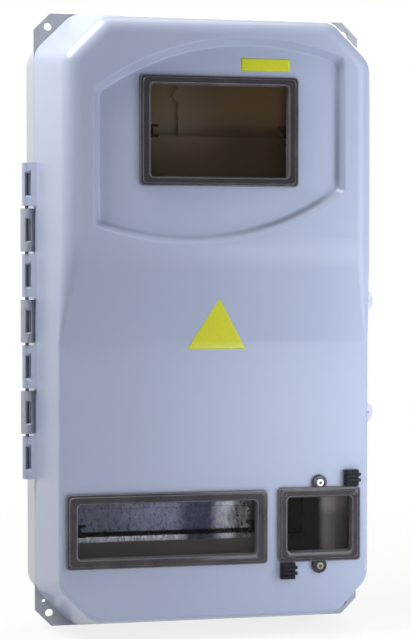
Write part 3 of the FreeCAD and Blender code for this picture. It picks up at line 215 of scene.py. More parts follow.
# %% Colours, finishes and the nodes that wear them
def rgb(red, green, blue):
    """Linear colour of a screen colour from 0 to 255: a straight foot, and a power curve above it."""
    screen = np.array([red, green, blue]) / 255
    linear = np.where(screen <= 0.04045, screen / 12.92, ((screen + 0.055) / 1.055) ** 2.4)
    return (*linear.tolist(), 1.0)


def finish(name, constants):
    """New material with one Principled shader, with constants set on its sockets.

    Gives the material, a shade in its tree and the shader.
    """
    material = bpy.data.materials.new(name)
    material.use_nodes = True
    shader = material.node_tree.nodes["Principled BSDF"]
    for socket, value in constants.items():
        shader.inputs[socket].default_value = value
    return material, Shade(material.node_tree), shader


def dress(node_names, material):
    """Give one finish to a list of solid nodes."""
    for name in node_names:
        slots = nodes[name].data.materials
        slots.clear()
        slots.append(material)
    print(material.name, "on", len(node_names), "nodes")


print("half grey on screen is", round(rgb(128, 128, 128)[0], 3), "in linear light")

# %% [markdown]
# ## The grey housing
#
# The tray and the door are moulded in a light grey plastic; the door's has a cooler cast. Up close it has
# a fine grain, and the colour drifts a little over a hand's width where the melt flowed. A photograph of
# plastic could be laid on, but it would stretch over the walls. So both come from noise on the object's
# own coordinates: the broad noise moves the colour, the fine one tips the normal, and both move the gloss.
# Shade is painted into the foot of the recess round the upper window, along its lower arc and its right
# side.
# It follows the distance from the arc's centre and from the side.

# %% Housing finish
GRAIN_PER_METRE = 1500
FLOW_PER_METRE = 9
HOUSING_ROUGH = 0.25
FLOW_SPREAD = 0.08
GRAIN_SPREAD = 0.04
GRAIN_TILT = 0.12
GRAIN_DEPTH = 0.1


def housing(name, dark, light):
    """Grained grey plastic: broad noise mixes two near colours, fine noise tips the normal, and both move
    the roughness.

    Gives the material, its shade, its shader and the colour, which is left to be wired.
    """
    material, shade, shader = finish(name, {"IOR": 1.5})
    flow = shade.noise(FLOW_PER_METRE, detail=3.0)
    grain = shade.noise(GRAIN_PER_METRE, detail=1.0)
    shade.feed(shader.inputs["Roughness"], HOUSING_ROUGH + FLOW_SPREAD * flow + GRAIN_SPREAD * grain)
    shade.feed(shader.inputs["Normal"], shade.bump(grain, GRAIN_TILT, GRAIN_DEPTH))
    return material, shade, shader, flow.mix(dark, light)


tray_plastic, shade, shader, colour = housing("tray_plastic", rgb(163, 168, 182), rgb(173, 177, 190))
shade.feed(shader.inputs["Base Color"], colour)
dress(["base_tray"], tray_plastic)


# %% Door with painted shade in its recess
def grey(level):
    """A grey of one level, as a ramp's stop takes it."""
    return (level, level, level)


def greys(*stops):
    """Stops of a ramp from pairs of a place and a level of grey."""
    return [(place, grey(level)) for place, level in stops]


# The recess in millimetres: its lower arc, its right side, how far the painted shade reaches from the
# walls, and the depths from the door's front to just behind the recess's floor
ARC_CENTRE = (-27.7 * MM, 0.0, 306.0 * MM)
ARC_RADIUS = 236.5
SIDE_X = 114.5
SIDE_LOW = 118.0
SIDE_HIGH = 240.0
FOOT_NEAR = 9.5
FOOT_FAR = 2.5
FRONT_NEAR = -158.0
FRONT_FAR = -146.0
# How strong the painted shade is: across the foot, along the arc, up the side and from the front to the
# back
FOOT_BAND = greys((0.0, 0.0), (0.4, 1.0), (0.65, 1.0), (1.0, 0.0))
ARC_SPREAD = greys((0.0, 0.0), (0.05, 0.3), (0.3, 0.2), (0.5, 0.3), (0.72, 0.66), (0.9, 0.6), (0.97, 0.0))
SIDE_SPREAD = greys((0.0, 0.0), (0.1, 0.6), (0.6, 0.45), (1.0, 0.0))
FRONT_SPREAD = greys((0.75, 1.0), (0.85, 0.0))
# Colour of the shade painted into the foot of the recess
PAINTED_SHADE_GREY = rgb(86, 94, 114)

door_plastic, shade, shader, colour = housing("door_plastic", rgb(163, 174, 203), rgb(172, 182, 209))
from_centre = shade.node("ShaderNodeVectorMath", {"operation": "DISTANCE"},
                         {0: shade.place((1, 0, 1)), 1: ARC_CENTRE}, "Value")
arc_foot = from_centre.tones((ARC_RADIUS - FOOT_NEAR) * MM, (ARC_RADIUS - FOOT_FAR) * MM, FOOT_BAND)
arc_foot = arc_foot * shade.along("X").tones(-SIDE_X * MM, SIDE_X * MM, ARC_SPREAD)
side_foot = shade.along("X").tones((SIDE_X - FOOT_NEAR) * MM, (SIDE_X - FOOT_FAR) * MM, FOOT_BAND)
side_foot = side_foot * shade.along("Z").tones(SIDE_LOW * MM, SIDE_HIGH * MM, SIDE_SPREAD)
# Painted shade: the foot of the recess darkens along its lower arc and up its right side
painted_shade = shade.math("MAXIMUM", arc_foot, side_foot)
painted_shade = painted_shade * shade.along("Y").tones(FRONT_NEAR * MM, FRONT_FAR * MM, FRONT_SPREAD)
shade.feed(shader.inputs["Base Color"], painted_shade.mix(colour, PAINTED_SHADE_GREY))
dress(["door_shell"], door_plastic)

# %% [markdown]
# ## Smoked plastic
#
# The three windows are brown-grey see-through mouldings. Refracting glass would keep the lamps from the
# rail behind it, so a window is a mix of two shaders: a tinted Transparent shader, which lets light and
# sight straight through, and a gloss plastic. The thick frames hold more pigment in the line of sight
# than the thin panes, so they mix in more of the plastic. A faint cloud in the gloss gives the handled
# look of such covers. The panes also have soft pale bands of painted reflection and light, where more
# of the plastic is mixed in. They follow each window's height and width.

# %% Window frames
SHARE_LEAST = 0.8
SHARE_SPREAD = 0.4
FRAME_TINT = rgb(160, 152, 150)


def clouded(name, constants, dark, light, per_metre, rough, spread, detail=3.0, stretch=(1, 1, 1)):
    """Finish that follows one noise: it mixes two colours, and times the spread it adds to the roughness.

    Gives the material, its shade, its shader and the noise.
    """
    material, shade, shader = finish(name, constants)
    cloud = shade.noise(per_metre, detail, stretch)
    shade.feed(shader.inputs["Base Color"], cloud.mix(dark, light))
    shade.feed(shader.inputs["Roughness"], rough + spread * cloud)
    return material, shade, shader, cloud


def smoked(name, tint, dark, light, body_share, shine, reflection_bands=None):
    """See-through plastic: a tinted Transparent shader mixed with a gloss plastic by a drifting share.

    Painted reflection bands, given as a node and stops along axes of that node, add the product of their
    tones to the share.
    """
    material, shade, shader, cloud = clouded(name, {"IOR": 1.5, "Specular IOR Level": shine}, dark, light,
                                             per_metre=55, rough=0.05, spread=0.09, detail=4.0)
    clear = shade.node("ShaderNodeBsdfTransparent", {}, {"Color": tint})
    gloss = Shade(shade.tree, shader.outputs[0])
    share = body_share * (SHARE_LEAST + SHARE_SPREAD * cloud)
    # Painted reflection: the bands mix more of the pale plastic into the pane
    if reflection_bands:
        node, bands = reflection_bands
        veil = 1.0
        for axis, stops in bands:
            veil = veil * shade.tones_along(node, axis, stops)
        share = share + veil
    blend = shade.node("ShaderNodeMixShader", {}, {0: share, 1: clear, 2: gloss})
    shade.feed(shade.tree.nodes["Material Output"].inputs["Surface"], blend)
    return material


dark_frame = smoked("smoked_dark_frame", FRAME_TINT, rgb(50, 46, 52), rgb(68, 64, 70),
                    body_share=0.66, shine=0.38)
light_frame = smoked("smoked_light_frame", FRAME_TINT, rgb(66, 62, 68), rgb(88, 84, 92),
                     body_share=0.66, shine=0.38)
# A lighter copy of the frame finish for the slanted and rounded bands: a painted highlight on the frames'
# edges
painted_edge_highlight = smoked("painted_edge_highlight", rgb(190, 186, 188), rgb(106, 104, 114), rgb(130, 128, 138),
                     body_share=0.7, shine=0.6)
print("frame finishes", dark_frame.name, light_frame.name, painted_edge_highlight.name)

# %% Panes with bands of painted reflection
# Bands of painted reflection and light along each window's height or width
UPPER_REFLECTION = ("upper_window", [("Z", greys((0.44, 0.0), (0.52, 0.02), (0.6, 0.09), (0.9, 0.13)))])
MODULE_REFLECTION = ("module_window", [("Z", greys((0.34, 0.16), (0.4, 0.0)))])
BREAKER_REFLECTION = ("breaker_window", [
    ("X", greys((0.5, 0.0), (0.58, 0.32), (0.64, 0.26), (0.74, 0.1), (0.9, 0.03))),
    ("Z", greys((0.22, 0.4), (0.58, 0.44), (0.68, 1.0)))])

brown_pane = smoked("brown_pane", rgb(241, 236, 229), rgb(132, 104, 66), rgb(146, 118, 78),
                    body_share=0.03, shine=0.1, reflection_bands=UPPER_REFLECTION)
grey_pane = smoked("grey_pane", rgb(242, 240, 239), rgb(104, 96, 94), rgb(120, 111, 109),
                   body_share=0.03, shine=0.1, reflection_bands=MODULE_REFLECTION)
clear_pane = smoked("clear_pane", rgb(241, 235, 226), rgb(160, 152, 166), rgb(176, 168, 182),
                    body_share=0.015, shine=0.1, reflection_bands=BREAKER_REFLECTION)
print("pane finishes", brown_pane.name, grey_pane.name, clear_pane.name)

# %% [markdown]
# ## Metals
#
# The rail and the brackets are zinc-coated sheet: the coat freezes in small crystals, which a cell
# pattern shows as patches of lighter and darker grey with their own gloss. Noise alone would give clouds
# without edges. On the rail, tones along its run and up its height paint light and shade: the lower lip is
# a painted highlight, far brighter than the web behind it, both are darker to the right of the middle and
# bright at the right end, and the folds hold a dark line of painted shade. The screws are plated and finer.
# The hinge pin is dark steel and the terminal bar is brass, both with fine upright marks from a stretched
# noise.

# %% Galvanised sheet
SPANGLE_PER_METRE = 650
SPANGLE_STRETCH = (1.0, 1.0, 0.45)
STREAKS_PER_METRE = 220
STREAK_STRETCH = (1.0, 1.0, 0.2)
CELL_PART = 0.6
STREAK_PART = 0.4
CELL_SPREAD = 0.16
COAT_TILT = 0.06
COAT_DEPTH = 0.2


def galvanised(name, dark, light, rough):
    """Zinc coat: a cell pattern mixed with upright streaks sets the colour and a slight relief, and the
    cells alone the roughness.

    Gives the material, its shade, its shader and the colour, which is left to be wired.
    """
    material, shade, shader = finish(name, {"Metallic": 1.0})
    cells = shade.node("ShaderNodeTexVoronoi", {"feature": "F1"},
                       {"Vector": shade.place(SPANGLE_STRETCH), "Scale": SPANGLE_PER_METRE}, "Color")
    tone = shade.node("ShaderNodeSeparateColor", {}, {"Color": cells}, "Red")
    streaks = shade.noise(STREAKS_PER_METRE, detail=3.0, stretch=STREAK_STRETCH)
    patch = CELL_PART * tone + STREAK_PART * streaks
    shade.feed(shader.inputs["Roughness"], rough + CELL_SPREAD * tone)
    shade.feed(shader.inputs["Normal"], shade.bump(patch, COAT_TILT, COAT_DEPTH))
    return material, shade, shader, patch.mix(dark, light)


sheet_zinc, shade, shader, coat = galvanised("sheet_zinc", rgb(120, 128, 146), rgb(196, 204, 222),
                                             rough=0.22)
shade.feed(shader.inputs["Base Color"], coat)
dress(["rail_brackets", "upper_lock_cam", "lower_lock_cam", "upper_keeper", "lower_keeper"], sheet_zinc)

# %% Rail with painted light and shade
# Tone levels for the rail: the lip's and the right end's bright tones are painted light, the folds' dark
# grey is painted shade
DIM = (0.17, 0.19, 0.23)
DULL = (0.28, 0.30, 0.36)
DARK_BAND = (0.08, 0.09, 0.13)
LIP_LIGHT = (0.84, 0.86, 0.92)
BRIGHT = grey(1.0)
FOLD_SHADE = grey(0.06)
# Tones along the rail's run: darker to the right of the middle, with painted light at the right end and on
# the lip
WEB_RUN = [(0.2, DIM), (0.45, DULL), (0.56, DULL), (0.64, DARK_BAND), (0.77, DARK_BAND), (0.88, BRIGHT)]
LIP_RUN = [(0.2, LIP_LIGHT), (0.45, BRIGHT), (0.58, BRIGHT), (0.64, DARK_BAND), (0.77, DARK_BAND),
           (0.86, BRIGHT)]
# Places up the rail's height, as shares of it
LIP_HEIGHT = 5.0
RAIL_HEIGHT = 35.0
FOLD = 0.09
BLEND = 0.015
LOWER_LIP = LIP_HEIGHT / RAIL_HEIGHT
UPPER_LIP = 1 - LOWER_LIP
FOLD_END = LOWER_LIP + FOLD
# Up the height: the lower lip takes the lip's painted light, and painted shade darkens the lower and the
# upper fold
LIP_RISE = [(LOWER_LIP, BRIGHT), (LOWER_LIP + BLEND, grey(0.0))]
FOLD_RISE = [(LOWER_LIP - BLEND, BRIGHT), (LOWER_LIP, FOLD_SHADE), (FOLD_END, FOLD_SHADE), (FOLD_END + BLEND, BRIGHT),
             (UPPER_LIP - BLEND, BRIGHT), (UPPER_LIP, FOLD_SHADE), (UPPER_LIP + BLEND, BRIGHT)]

rail_zinc, shade, shader, coat = galvanised("rail_zinc", rgb(136, 146, 172), rgb(240, 246, 255),
                                            rough=0.24)
# Painted light and shade on the coat: these tones multiply its colour
web = shade.tones_along("device_rail", "X", WEB_RUN)
lip = shade.tones_along("device_rail", "X", LIP_RUN)
run = shade.tones_along("device_rail", "Z", LIP_RISE).mix(web, lip)
coat = coat.tinted(run).tinted(shade.tones_along("device_rail", "Z", FOLD_RISE))
shade.feed(shader.inputs["Base Color"], coat)
dress(["device_rail", "rail_screws"], rail_zinc)


# %% Screws, pin and brass bar
def metal(name, dark, light, **grain):
    """Plain metal: one noise in its colour and its roughness."""
    return clouded(name, {"Metallic": 1.0}, dark, light, **grain)[0]


zinc = metal("zinc_plate", rgb(205, 205, 198), rgb(235, 235, 230), per_metre=900, rough=0.22, spread=0.14)
dress([name for name in nodes if name.endswith(("screws", "screw")) and name != "rail_screws"], zinc)
# A darker, rougher copy of the plating for the lower cover screw: painted shade, as the same screw mirrors
# something dark
shaded_plating = metal("shaded_zinc", rgb(104, 108, 100), rgb(140, 144, 134),
                  per_metre=900, rough=0.32, spread=0.2)
print(shaded_plating.name, "for one of the cover screws below")
pin_steel = metal("pin_steel", rgb(70, 72, 76), rgb(110, 112, 116),
                  per_metre=2500, rough=0.35, spread=0.15, detail=2.0, stretch=(1.0, 1.0, 0.02))
dress(["hinge_pin"], pin_steel)
brass = metal("machined_brass", rgb(176, 142, 72), rgb(206, 172, 98),
              per_metre=1200, rough=0.28, spread=0.12, detail=2.0, stretch=(1.0, 1.0, 0.1))
dress(["terminal_bar"], brass)

# %% [markdown]
# ## The other plastics and the rubber
#
# Black clips, dark sealing blocks, the grey panel, foam seals and grommets all have the same build: two
# near colours mixed by a noise, a roughness that follows a finer one, and a fine bump. Each could have a
# tree of its own, but one function makes them all, with colours, grain and roughness for each. The lock
# knobs are a milky plastic: light scatters a little inside it, and it lets some sight through.

# %% A function for moulded finishes
BROAD_RATIO = 12
FINE_SPREAD = 0.08
FINE_TILT = 0.3


def moulded(name, dark, light, grain_per_metre, rough, depth=0.1, shine=0.5):
    """Plastic, rubber or foam: broad noise mixes two colours, fine noise moves the roughness and tips the
    normal, with a depth in millimetres."""
    material, shade, shader = finish(name, {"IOR": 1.48, "Specular IOR Level": shine})
    broad = shade.noise(grain_per_metre / BROAD_RATIO, detail=3.0)
    fine = shade.noise(grain_per_metre, detail=2.0)
    shade.feed(shader.inputs["Base Color"], broad.mix(dark, light))
    shade.feed(shader.inputs["Roughness"], rough + FINE_SPREAD * fine)
    shade.feed(shader.inputs["Normal"], shade.bump(fine, FINE_TILT, depth))
    return material


dress(["terminal_holder", "terminal_cover", "upper_window_clips", "module_window_clips"],
      moulded("black_plastic", rgb(10, 10, 11), rgb(20, 19, 21),
              grain_per_metre=1400, rough=0.4, shine=0.12))
dress(["upper_seal_block", "lower_seal_block"],
      moulded("seal_block_plastic", rgb(16, 15, 22), rgb(38, 37, 46),
              grain_per_metre=1200, rough=0.3, shine=0.15))
dress(["mounting_panel"],
      moulded("panel_plastic", rgb(184, 179, 178), rgb(196, 191, 190), grain_per_metre=1000, rough=0.5))
dress(["rim_gasket", "upper_window_seal", "module_window_seal", "breaker_window_seal"],
      moulded("foam_seal", rgb(30, 30, 32), rgb(52, 52, 55), grain_per_metre=2600, rough=0.85, depth=0.4))
dress(["cable_grommets"],
      moulded("grommet_rubber", rgb(34, 34, 36), rgb(50, 50, 53), grain_per_metre=900, rough=0.62))

# %% Milky lock knobs
LEAST_ALPHA = 0.86
ALPHA_SPREAD = 0.08

milky, shade, shader, veil = clouded(
    "milky_plastic", {"IOR": 1.49, "Subsurface Weight": 0.35, "Subsurface Scale": 0.004},
    rgb(196, 198, 214), rgb(220, 222, 234), per_metre=240, rough=0.2, spread=0.1)
shade.feed(shader.inputs["Alpha"], LEAST_ALPHA + ALPHA_SPREAD * veil)
dress(["upper_lock_knob", "lower_lock_knob"], milky)

# %% [markdown]
# ## Window covers
#
# Each cover is one moulding: a stepped frame on the door, an inner wall that leads down to the pane, and a
# skirt behind. Its edges are rounded, and the corners of its lip are rounder than the outer ones and those
# of the pane, which is what catches the light. A box with a bevel would round every corner alike. So the
# shape is a profile carried round a rounded rectangle: every point of the profile has an inset from the
# outside, a depth and a corner radius, and gives one ring. The rings are joined into one closed skin, with
# a flat face over each side of the pane. The frame's outside and depth come from the solid model.

# %% Helpers for ring-shaped skins
CORNER_STEPS = 8
ROUND_POINTS = 5
SHARP_ANGLE = math.radians(38)


def rounded_rings(half_width, half_height, radius):
    """Rounded rectangles, one row each: quarter circles about centres one radius in from the sides."""
    quarter = np.linspace(0, np.pi / 2, CORNER_STEPS + 1)
    angle = (np.arange(4)[:, None] * np.pi / 2 + quarter).ravel()
    side_x = np.repeat([1, -1, -1, 1], CORNER_STEPS + 1)
    side_z = np.repeat([1, 1, -1, -1], CORNER_STEPS + 1)
    x = side_x * (half_width - radius)[:, None] + radius[:, None] * np.cos(angle)
    z = side_z * (half_height - radius)[:, None] + radius[:, None] * np.sin(angle)
    return x, z


def quarter_turn(inset, depth, radius, start):
    """Quarter circle about a centre: the angle, in degrees, runs a right angle down from the start."""
    angle = np.radians(np.linspace(start, start - 90, ROUND_POINTS))
    return np.stack([inset + radius * np.cos(angle), depth - radius * np.sin(angle)], axis=1)


def ring_faces(rows, columns, open_after):
    """Quads between neighbouring rings, wrapped round; the band after one ring is left open, and two caps
    close that gap."""
    row = np.delete(np.arange(rows), open_after)[:, None]
    following = (row + 1) % rows
    column = np.arange(columns)
    beside = (column + 1) % columns
    quads = np.stack([row * columns + column, row * columns + beside, following * columns + beside,
                      following * columns + column], axis=2).reshape(-1, 4)
    front_cap = open_after * columns + column
    back_cap = ((open_after + 1) % rows * columns + column)[::-1]
    return quads, [front_cap.tolist(), back_cap.tolist()]


def add_piece(name, points, faces, body, materials, indices=None):
    """Mesh piece in millimetres that rides on a body, smooth but for its sharp edges."""
    mesh = bpy.data.meshes.new(name)
    mesh.from_pydata((points.reshape(-1, 3) * MM).tolist(), [], faces)
    mesh.polygons.foreach_set("use_smooth", np.ones(len(faces), bool))
    mesh.set_sharp_from_angle(angle=SHARP_ANGLE)
    for material in materials:
        mesh.materials.append(material)
    if indices is not None:
        mesh.polygons.foreach_set("material_index", indices)
    piece = bpy.data.objects.new(name, mesh)
    bpy.context.scene.collection.objects.link(piece)
    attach(piece, body)
    print(name, len(faces), "faces")
    return piece


print("a rounded ring has", 4 * (CORNER_STEPS + 1), "points")

# %% The three covers
FRAME_PROUD = 3.0
STEP_DROP = 0.9
STEP_INSET = 2.6
STEP_RUN = 0.8
EDGE_ROUND = 1.0
WALL_LEAN = 1.4
PANE_SINK = 5.5
PANE_THICKNESS = 2.0
SKIRT_WALL = 1.8
FRAME_CORNER = 3.5
LIP_CORNER = 4.2
PANE_CORNER = 1.5
PANE_MARGIN = 1.5
EDGE_SLANT = 0.05
FRAME_SLOT, PANE_SLOT, HIGHLIGHT_SLOT = range(3)
EAR_RADIUS = 7.0
EAR_REACH = 4.0


def cover_profile(border):
    """Inset and depth of the frame: from its back edge over the step and the face, down the inner wall to
    the pane, and behind the pane back along the skirt. Gives the number of points in front too."""
    lip = border - WALL_LEAN - EDGE_ROUND
    front = np.concatenate([
        [[0, FRAME_PROUD]],
        quarter_turn(EDGE_ROUND, STEP_DROP + EDGE_ROUND, EDGE_ROUND, start=180),
        [[STEP_INSET, STEP_DROP], [STEP_INSET + STEP_RUN / 2, STEP_DROP / 2], [STEP_INSET + STEP_RUN, 0]],
        quarter_turn(lip, EDGE_ROUND, EDGE_ROUND, start=90),
        [[border, PANE_SINK], [border + PANE_MARGIN, PANE_SINK]]])
    back_depth = PANE_SINK + PANE_THICKNESS
    skirt = border - SKIRT_WALL
    back = np.array([[border + PANE_MARGIN, back_depth], [skirt, back_depth], [skirt, FRAME_PROUD]])
    return np.concatenate([front, back]), len(front)


def window_cover(node, border_x, border_z, frame_finish, pane_finish, ear=0.0):
    """Closed skin of one cover: the profile's insets, scaled to each border, set the half sizes of every
    ring. Slanted and rounded bands get the lighter edge finish, a painted highlight, flat ones the frame's
    or the pane's."""
    low, high = (np.array(corner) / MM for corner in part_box(node))
    middle = (low + high) / 2
    half_width = (high[0] - low[0]) / 2
    half_height = (high[2] - low[2]) / 2 - ear
    profile, ahead = cover_profile(border_x)
    inset, depth = profile.T
    inset_z = inset * border_z / border_x
    radius = np.interp(inset, [0, border_x - WALL_LEAN, border_x], [FRAME_CORNER, LIP_CORNER, PANE_CORNER])
    x, z = rounded_rings(half_width - inset, half_height - inset_z, radius)
    y = np.broadcast_to((low[1] + depth)[:, None], x.shape)
    points = np.stack([middle[0] + x, y, middle[2] + z], axis=2)
    quads, caps = ring_faces(len(profile), x.shape[1], ahead - 1)
    slant = np.abs(np.diff(profile, axis=0, append=profile[:1])).min(axis=1)
    # Slanted and rounded bands take the lighter finish, a painted highlight
    band = np.where(slant > EDGE_SLANT, HIGHLIGHT_SLOT, FRAME_SLOT)
    band[ahead - 2:] = FRAME_SLOT
    band[[ahead - 2, ahead]] = PANE_SLOT
    indices = np.concatenate([np.repeat(np.delete(band, ahead - 1), x.shape[1]), [PANE_SLOT, PANE_SLOT]])
    cover = add_piece(node + "_cover", points, quads.tolist() + caps, "door",
                      [frame_finish, pane_finish, painted_edge_highlight], indices)
    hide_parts(node)


window_cover("upper_window", border_x=10.8, border_z=8.6,
             frame_finish=dark_frame, pane_finish=brown_pane)
window_cover("module_window", border_x=11.5, border_z=10.0,
             frame_finish=light_frame, pane_finish=grey_pane)
window_cover("breaker_window", border_x=9.8, border_z=10.0,
             frame_finish=light_frame, pane_finish=clear_pane, ear=EAR_RADIUS + EAR_REACH)

# %% [markdown]
# ## Ears and screws of the breaker cover
#
# Two lobes stand out above and below the small cover, and a screw with a bored head goes through each.
# A lobe could be cut from a cylinder, but a cut leaves slivers. Here it is a circle ended straight where
# it meets the frame, so every ring of its skin is an arc and a chord. A screw is a profile turned about
# its axis. Both take their places from the screws of the solid model.

# %% Ears
EAR_ARC_STEPS = 40
EAR_CHORD_STEPS = 10
EAR_SEAT = 2.6
EAR_THICKNESS = 2.1
HEAD_HEIGHT = 2.2


def ear_rings(radius):
    """Circle of each radius ended by a chord: the arc runs over the top from one end of it to the other."""
    dip = np.arcsin(EAR_REACH / radius)[:, None]
    turn = -dip + np.linspace(0, 1, EAR_ARC_STEPS) * (np.pi + 2 * dip)
    chord = np.linspace(-1, 1, EAR_CHORD_STEPS + 2)[1:-1]
    chord_z = np.full((len(radius), EAR_CHORD_STEPS), -EAR_REACH)
    x = np.concatenate([radius[:, None] * np.cos(turn), radius[:, None] * np.cos(dip) * chord], axis=1)
    z = np.concatenate([radius[:, None] * np.sin(turn), chord_z], axis=1)
    return x, z


screw_low, screw_high = (np.array(corner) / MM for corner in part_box("breaker_cover_screws"))
head_radius = (screw_high[0] - screw_low[0]) / 2
screw_x = (screw_low[0] + screw_high[0]) / 2
screw_z = {"upper": screw_high[2] - head_radius, "lower": screw_low[2] + head_radius}
ear_front = screw_low[1] + HEAD_HEIGHT
ear_profile = np.concatenate([
    [[0, EAR_THICKNESS]],
    quarter_turn(EDGE_ROUND, EDGE_ROUND, EDGE_ROUND, start=180),
    [[EAR_SEAT, 0], [EAR_SEAT, EAR_THICKNESS]]])
ear_x, ear_z = ear_rings(EAR_RADIUS - ear_profile[:, 0])
ear_y = np.broadcast_to((ear_front + ear_profile[:, 1])[:, None], ear_x.shape)
ear_quads, ear_caps = ring_faces(len(ear_profile), ear_x.shape[1], len(ear_profile) - 2)
for word, up in [("upper", 1), ("lower", -1)]:
    ear_points = np.stack([screw_x + up * ear_x, ear_y, screw_z[word] + up * ear_z], axis=2)
    add_piece(word + "_cover_ear", ear_points, ear_quads.tolist() + ear_caps, "door",
              [light_frame])

# %% Cover screws
HEAD_ROUND = 1.0
SOCKET_RADIUS = 1.4
SOCKET_DEPTH = 1.6
SOCKET_BEVEL = 0.2
SHANK_RADIUS = 1.75
SHANK_LENGTH = 12.0
TURN_STEPS = 32
HEAD_SLOT, SOCKET_SLOT = range(2)


def turned_rings(radius):
    """Circles, one row for each radius."""
    angle = np.linspace(0, 2 * np.pi, TURN_STEPS, endpoint=False)
    return radius[:, None] * np.cos(angle), radius[:, None] * np.sin(angle)


screw_profile = np.concatenate([
    [[SHANK_RADIUS, SHANK_LENGTH], [SHANK_RADIUS, 0], [head_radius, 0]],
    quarter_turn(head_radius - HEAD_ROUND, HEAD_ROUND - HEAD_HEIGHT, HEAD_ROUND, start=90)[::-1],
    [[SOCKET_RADIUS + SOCKET_BEVEL, -HEAD_HEIGHT], [SOCKET_RADIUS, SOCKET_BEVEL - HEAD_HEIGHT],
     [SOCKET_RADIUS, SOCKET_DEPTH - HEAD_HEIGHT]]])
turn_x, turn_z = turned_rings(screw_profile[:, 0])
turn_y = np.broadcast_to((ear_front + screw_profile[:, 1])[:, None], turn_x.shape)
turn_quads, turn_caps = ring_faces(len(screw_profile), TURN_STEPS, len(screw_profile) - 1)
turn_bands = np.full(len(screw_profile) - 1, HEAD_SLOT)
turn_bands[-1] = SOCKET_SLOT
turn_slots = np.concatenate([np.repeat(turn_bands, TURN_STEPS), [SOCKET_SLOT, HEAD_SLOT]])
# The lower screw takes the darker copy of the plating, as painted shade
for word, plating in [("upper", zinc), ("lower", shaded_plating)]:
    screw_points = np.stack([screw_x + turn_x, turn_y, screw_z[word] + turn_z], axis=2)
    screw = add_piece(word + "_cover_screw", screw_points, turn_quads.tolist() + turn_caps, "door",
                      [plating, pin_steel], turn_slots)
    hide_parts("breaker_cover_screws")

# %% [markdown]
# ## Two bare stickers
#
# A yellow triangle lies on the sloped band of the door, and a small yellow strip lies above the upper
# window. Both are plain. They could be painted in the door's finish, but a sticker has an edge. So each is
# a grid of points laid on the door, with a thickness from a Solidify modifier. The triangle bends over the
# crease at its foot, so it takes its depth from the same profile as the door: a flat lower front, a round
# crease and a straight slope.

# %% The door's front as a profile
LOWER_FRONT = -137.0
UPPER_FRONT = -157.0
CREASE_HEIGHT = -18.0
SLOPE_TOP = 60.0
CREASE_RADIUS = 40.0


def front_depth(height):
    """Depth of the lower front, the round crease and the slope at a height, all in millimetres.

    The slope is a straight line from crease to ridge. The crease is an arc that touches the flat front and
    the slope; its touching points lie one tangent length, radius times the tangent of half the turn, from
    the corner.
    """
    turn = math.atan2(LOWER_FRONT - UPPER_FRONT, SLOPE_TOP - CREASE_HEIGHT)
    reach = CREASE_RADIUS * math.tan(turn / 2)
    start = CREASE_HEIGHT - reach
    end = CREASE_HEIGHT + reach * math.cos(turn)
    arc = LOWER_FRONT - CREASE_RADIUS + np.sqrt(np.maximum(CREASE_RADIUS ** 2 - (height - start) ** 2, 0))
    slope = LOWER_FRONT - (height - CREASE_HEIGHT) * math.tan(turn)
    return np.where(height < start, LOWER_FRONT, np.where(height < end, arc, slope))


print("front depth at the crease in mm", round(float(front_depth(CREASE_HEIGHT)), 2))

# %% Sticker finish and sheet
VINYL_TILT = 0.05
VINYL_DEPTH = 0.2
STICKER_THICKNESS = 0.15

yellow, shade, shader, cloud = clouded(
    "yellow_vinyl", {"IOR": 1.46, "Coat Weight": 0.25, "Coat Roughness": 0.12},
    rgb(196, 200, 4), rgb(210, 212, 10), per_metre=260, rough=0.3, spread=0.16)
shade.feed(shader.inputs["Normal"], shade.bump(cloud, VINYL_TILT, VINYL_DEPTH))


def sticker(name, x, z, depth):
    """Thin sheet over a grid of places on the door, a sticker's thickness proud of it."""
    rows, columns = x.shape
    first = (np.arange(rows - 1)[:, None] * columns + np.arange(columns - 1)).ravel()
    faces = np.stack([first, first + 1, first + columns + 1, first + columns], axis=1)
    points = np.stack([x, depth - STICKER_THICKNESS, z], axis=2)
    piece = add_piece(name, points, faces.tolist(), "door", [yellow])
    wall = piece.modifiers.new("thickness", "SOLIDIFY")
    wall.thickness = STICKER_THICKNESS * MM


print(yellow.name, "stands", STICKER_THICKNESS, "mm proud of the door")

# %% Triangle on the slope
TRIANGLE_APEX = (0.6, 21.6)
TRIANGLE_BASE_HALF = 27.0
TRIANGLE_BASE_HEIGHT = -24.0
TRIANGLE_TIP = 0.97
TRIANGLE_STEPS = 48

up, across = np.meshgrid(np.linspace(0, TRIANGLE_TIP, TRIANGLE_STEPS), np.linspace(-1, 1, TRIANGLE_STEPS),
                         indexing="ij")
triangle_z = TRIANGLE_BASE_HEIGHT + up * (TRIANGLE_APEX[1] - TRIANGLE_BASE_HEIGHT)
triangle_x = TRIANGLE_APEX[0] * up + across * TRIANGLE_BASE_HALF * (1 - up)
sticker("triangle_sticker", triangle_x, triangle_z, front_depth(triangle_z))

# %% Strip above the upper window
STRIP_LEFT = 19.7
STRIP_RIGHT = 64.9
STRIP_LOW = 224.6
STRIP_HIGH = 236.0
STRIP_COLUMNS = 24
STRIP_ROWS = 8
RECESS_FLOOR = -149.0

strip_x, strip_z = np.meshgrid(np.linspace(STRIP_LEFT, STRIP_RIGHT, STRIP_COLUMNS),
                               np.linspace(STRIP_LOW, STRIP_HIGH, STRIP_ROWS))
sticker("strip_sticker", strip_x, strip_z, np.full_like(strip_x, RECESS_FLOOR))

# %% [markdown]
# ## Floor, background and light
#
# The picture has a white ground. The floor is pale and fades to pure white away from the box, and the
# world is white where it is looked at, straight, in a mirror or through a window, and dim as a light.
# The lamps could be one big soft one, but then every face would have the same tone. There are six: a
# narrow one close to the right side, a strong one high on the left, a warm one above, one placed where
# the flat front mirrors it, a weak one near the camera, and one behind for the views from the back.

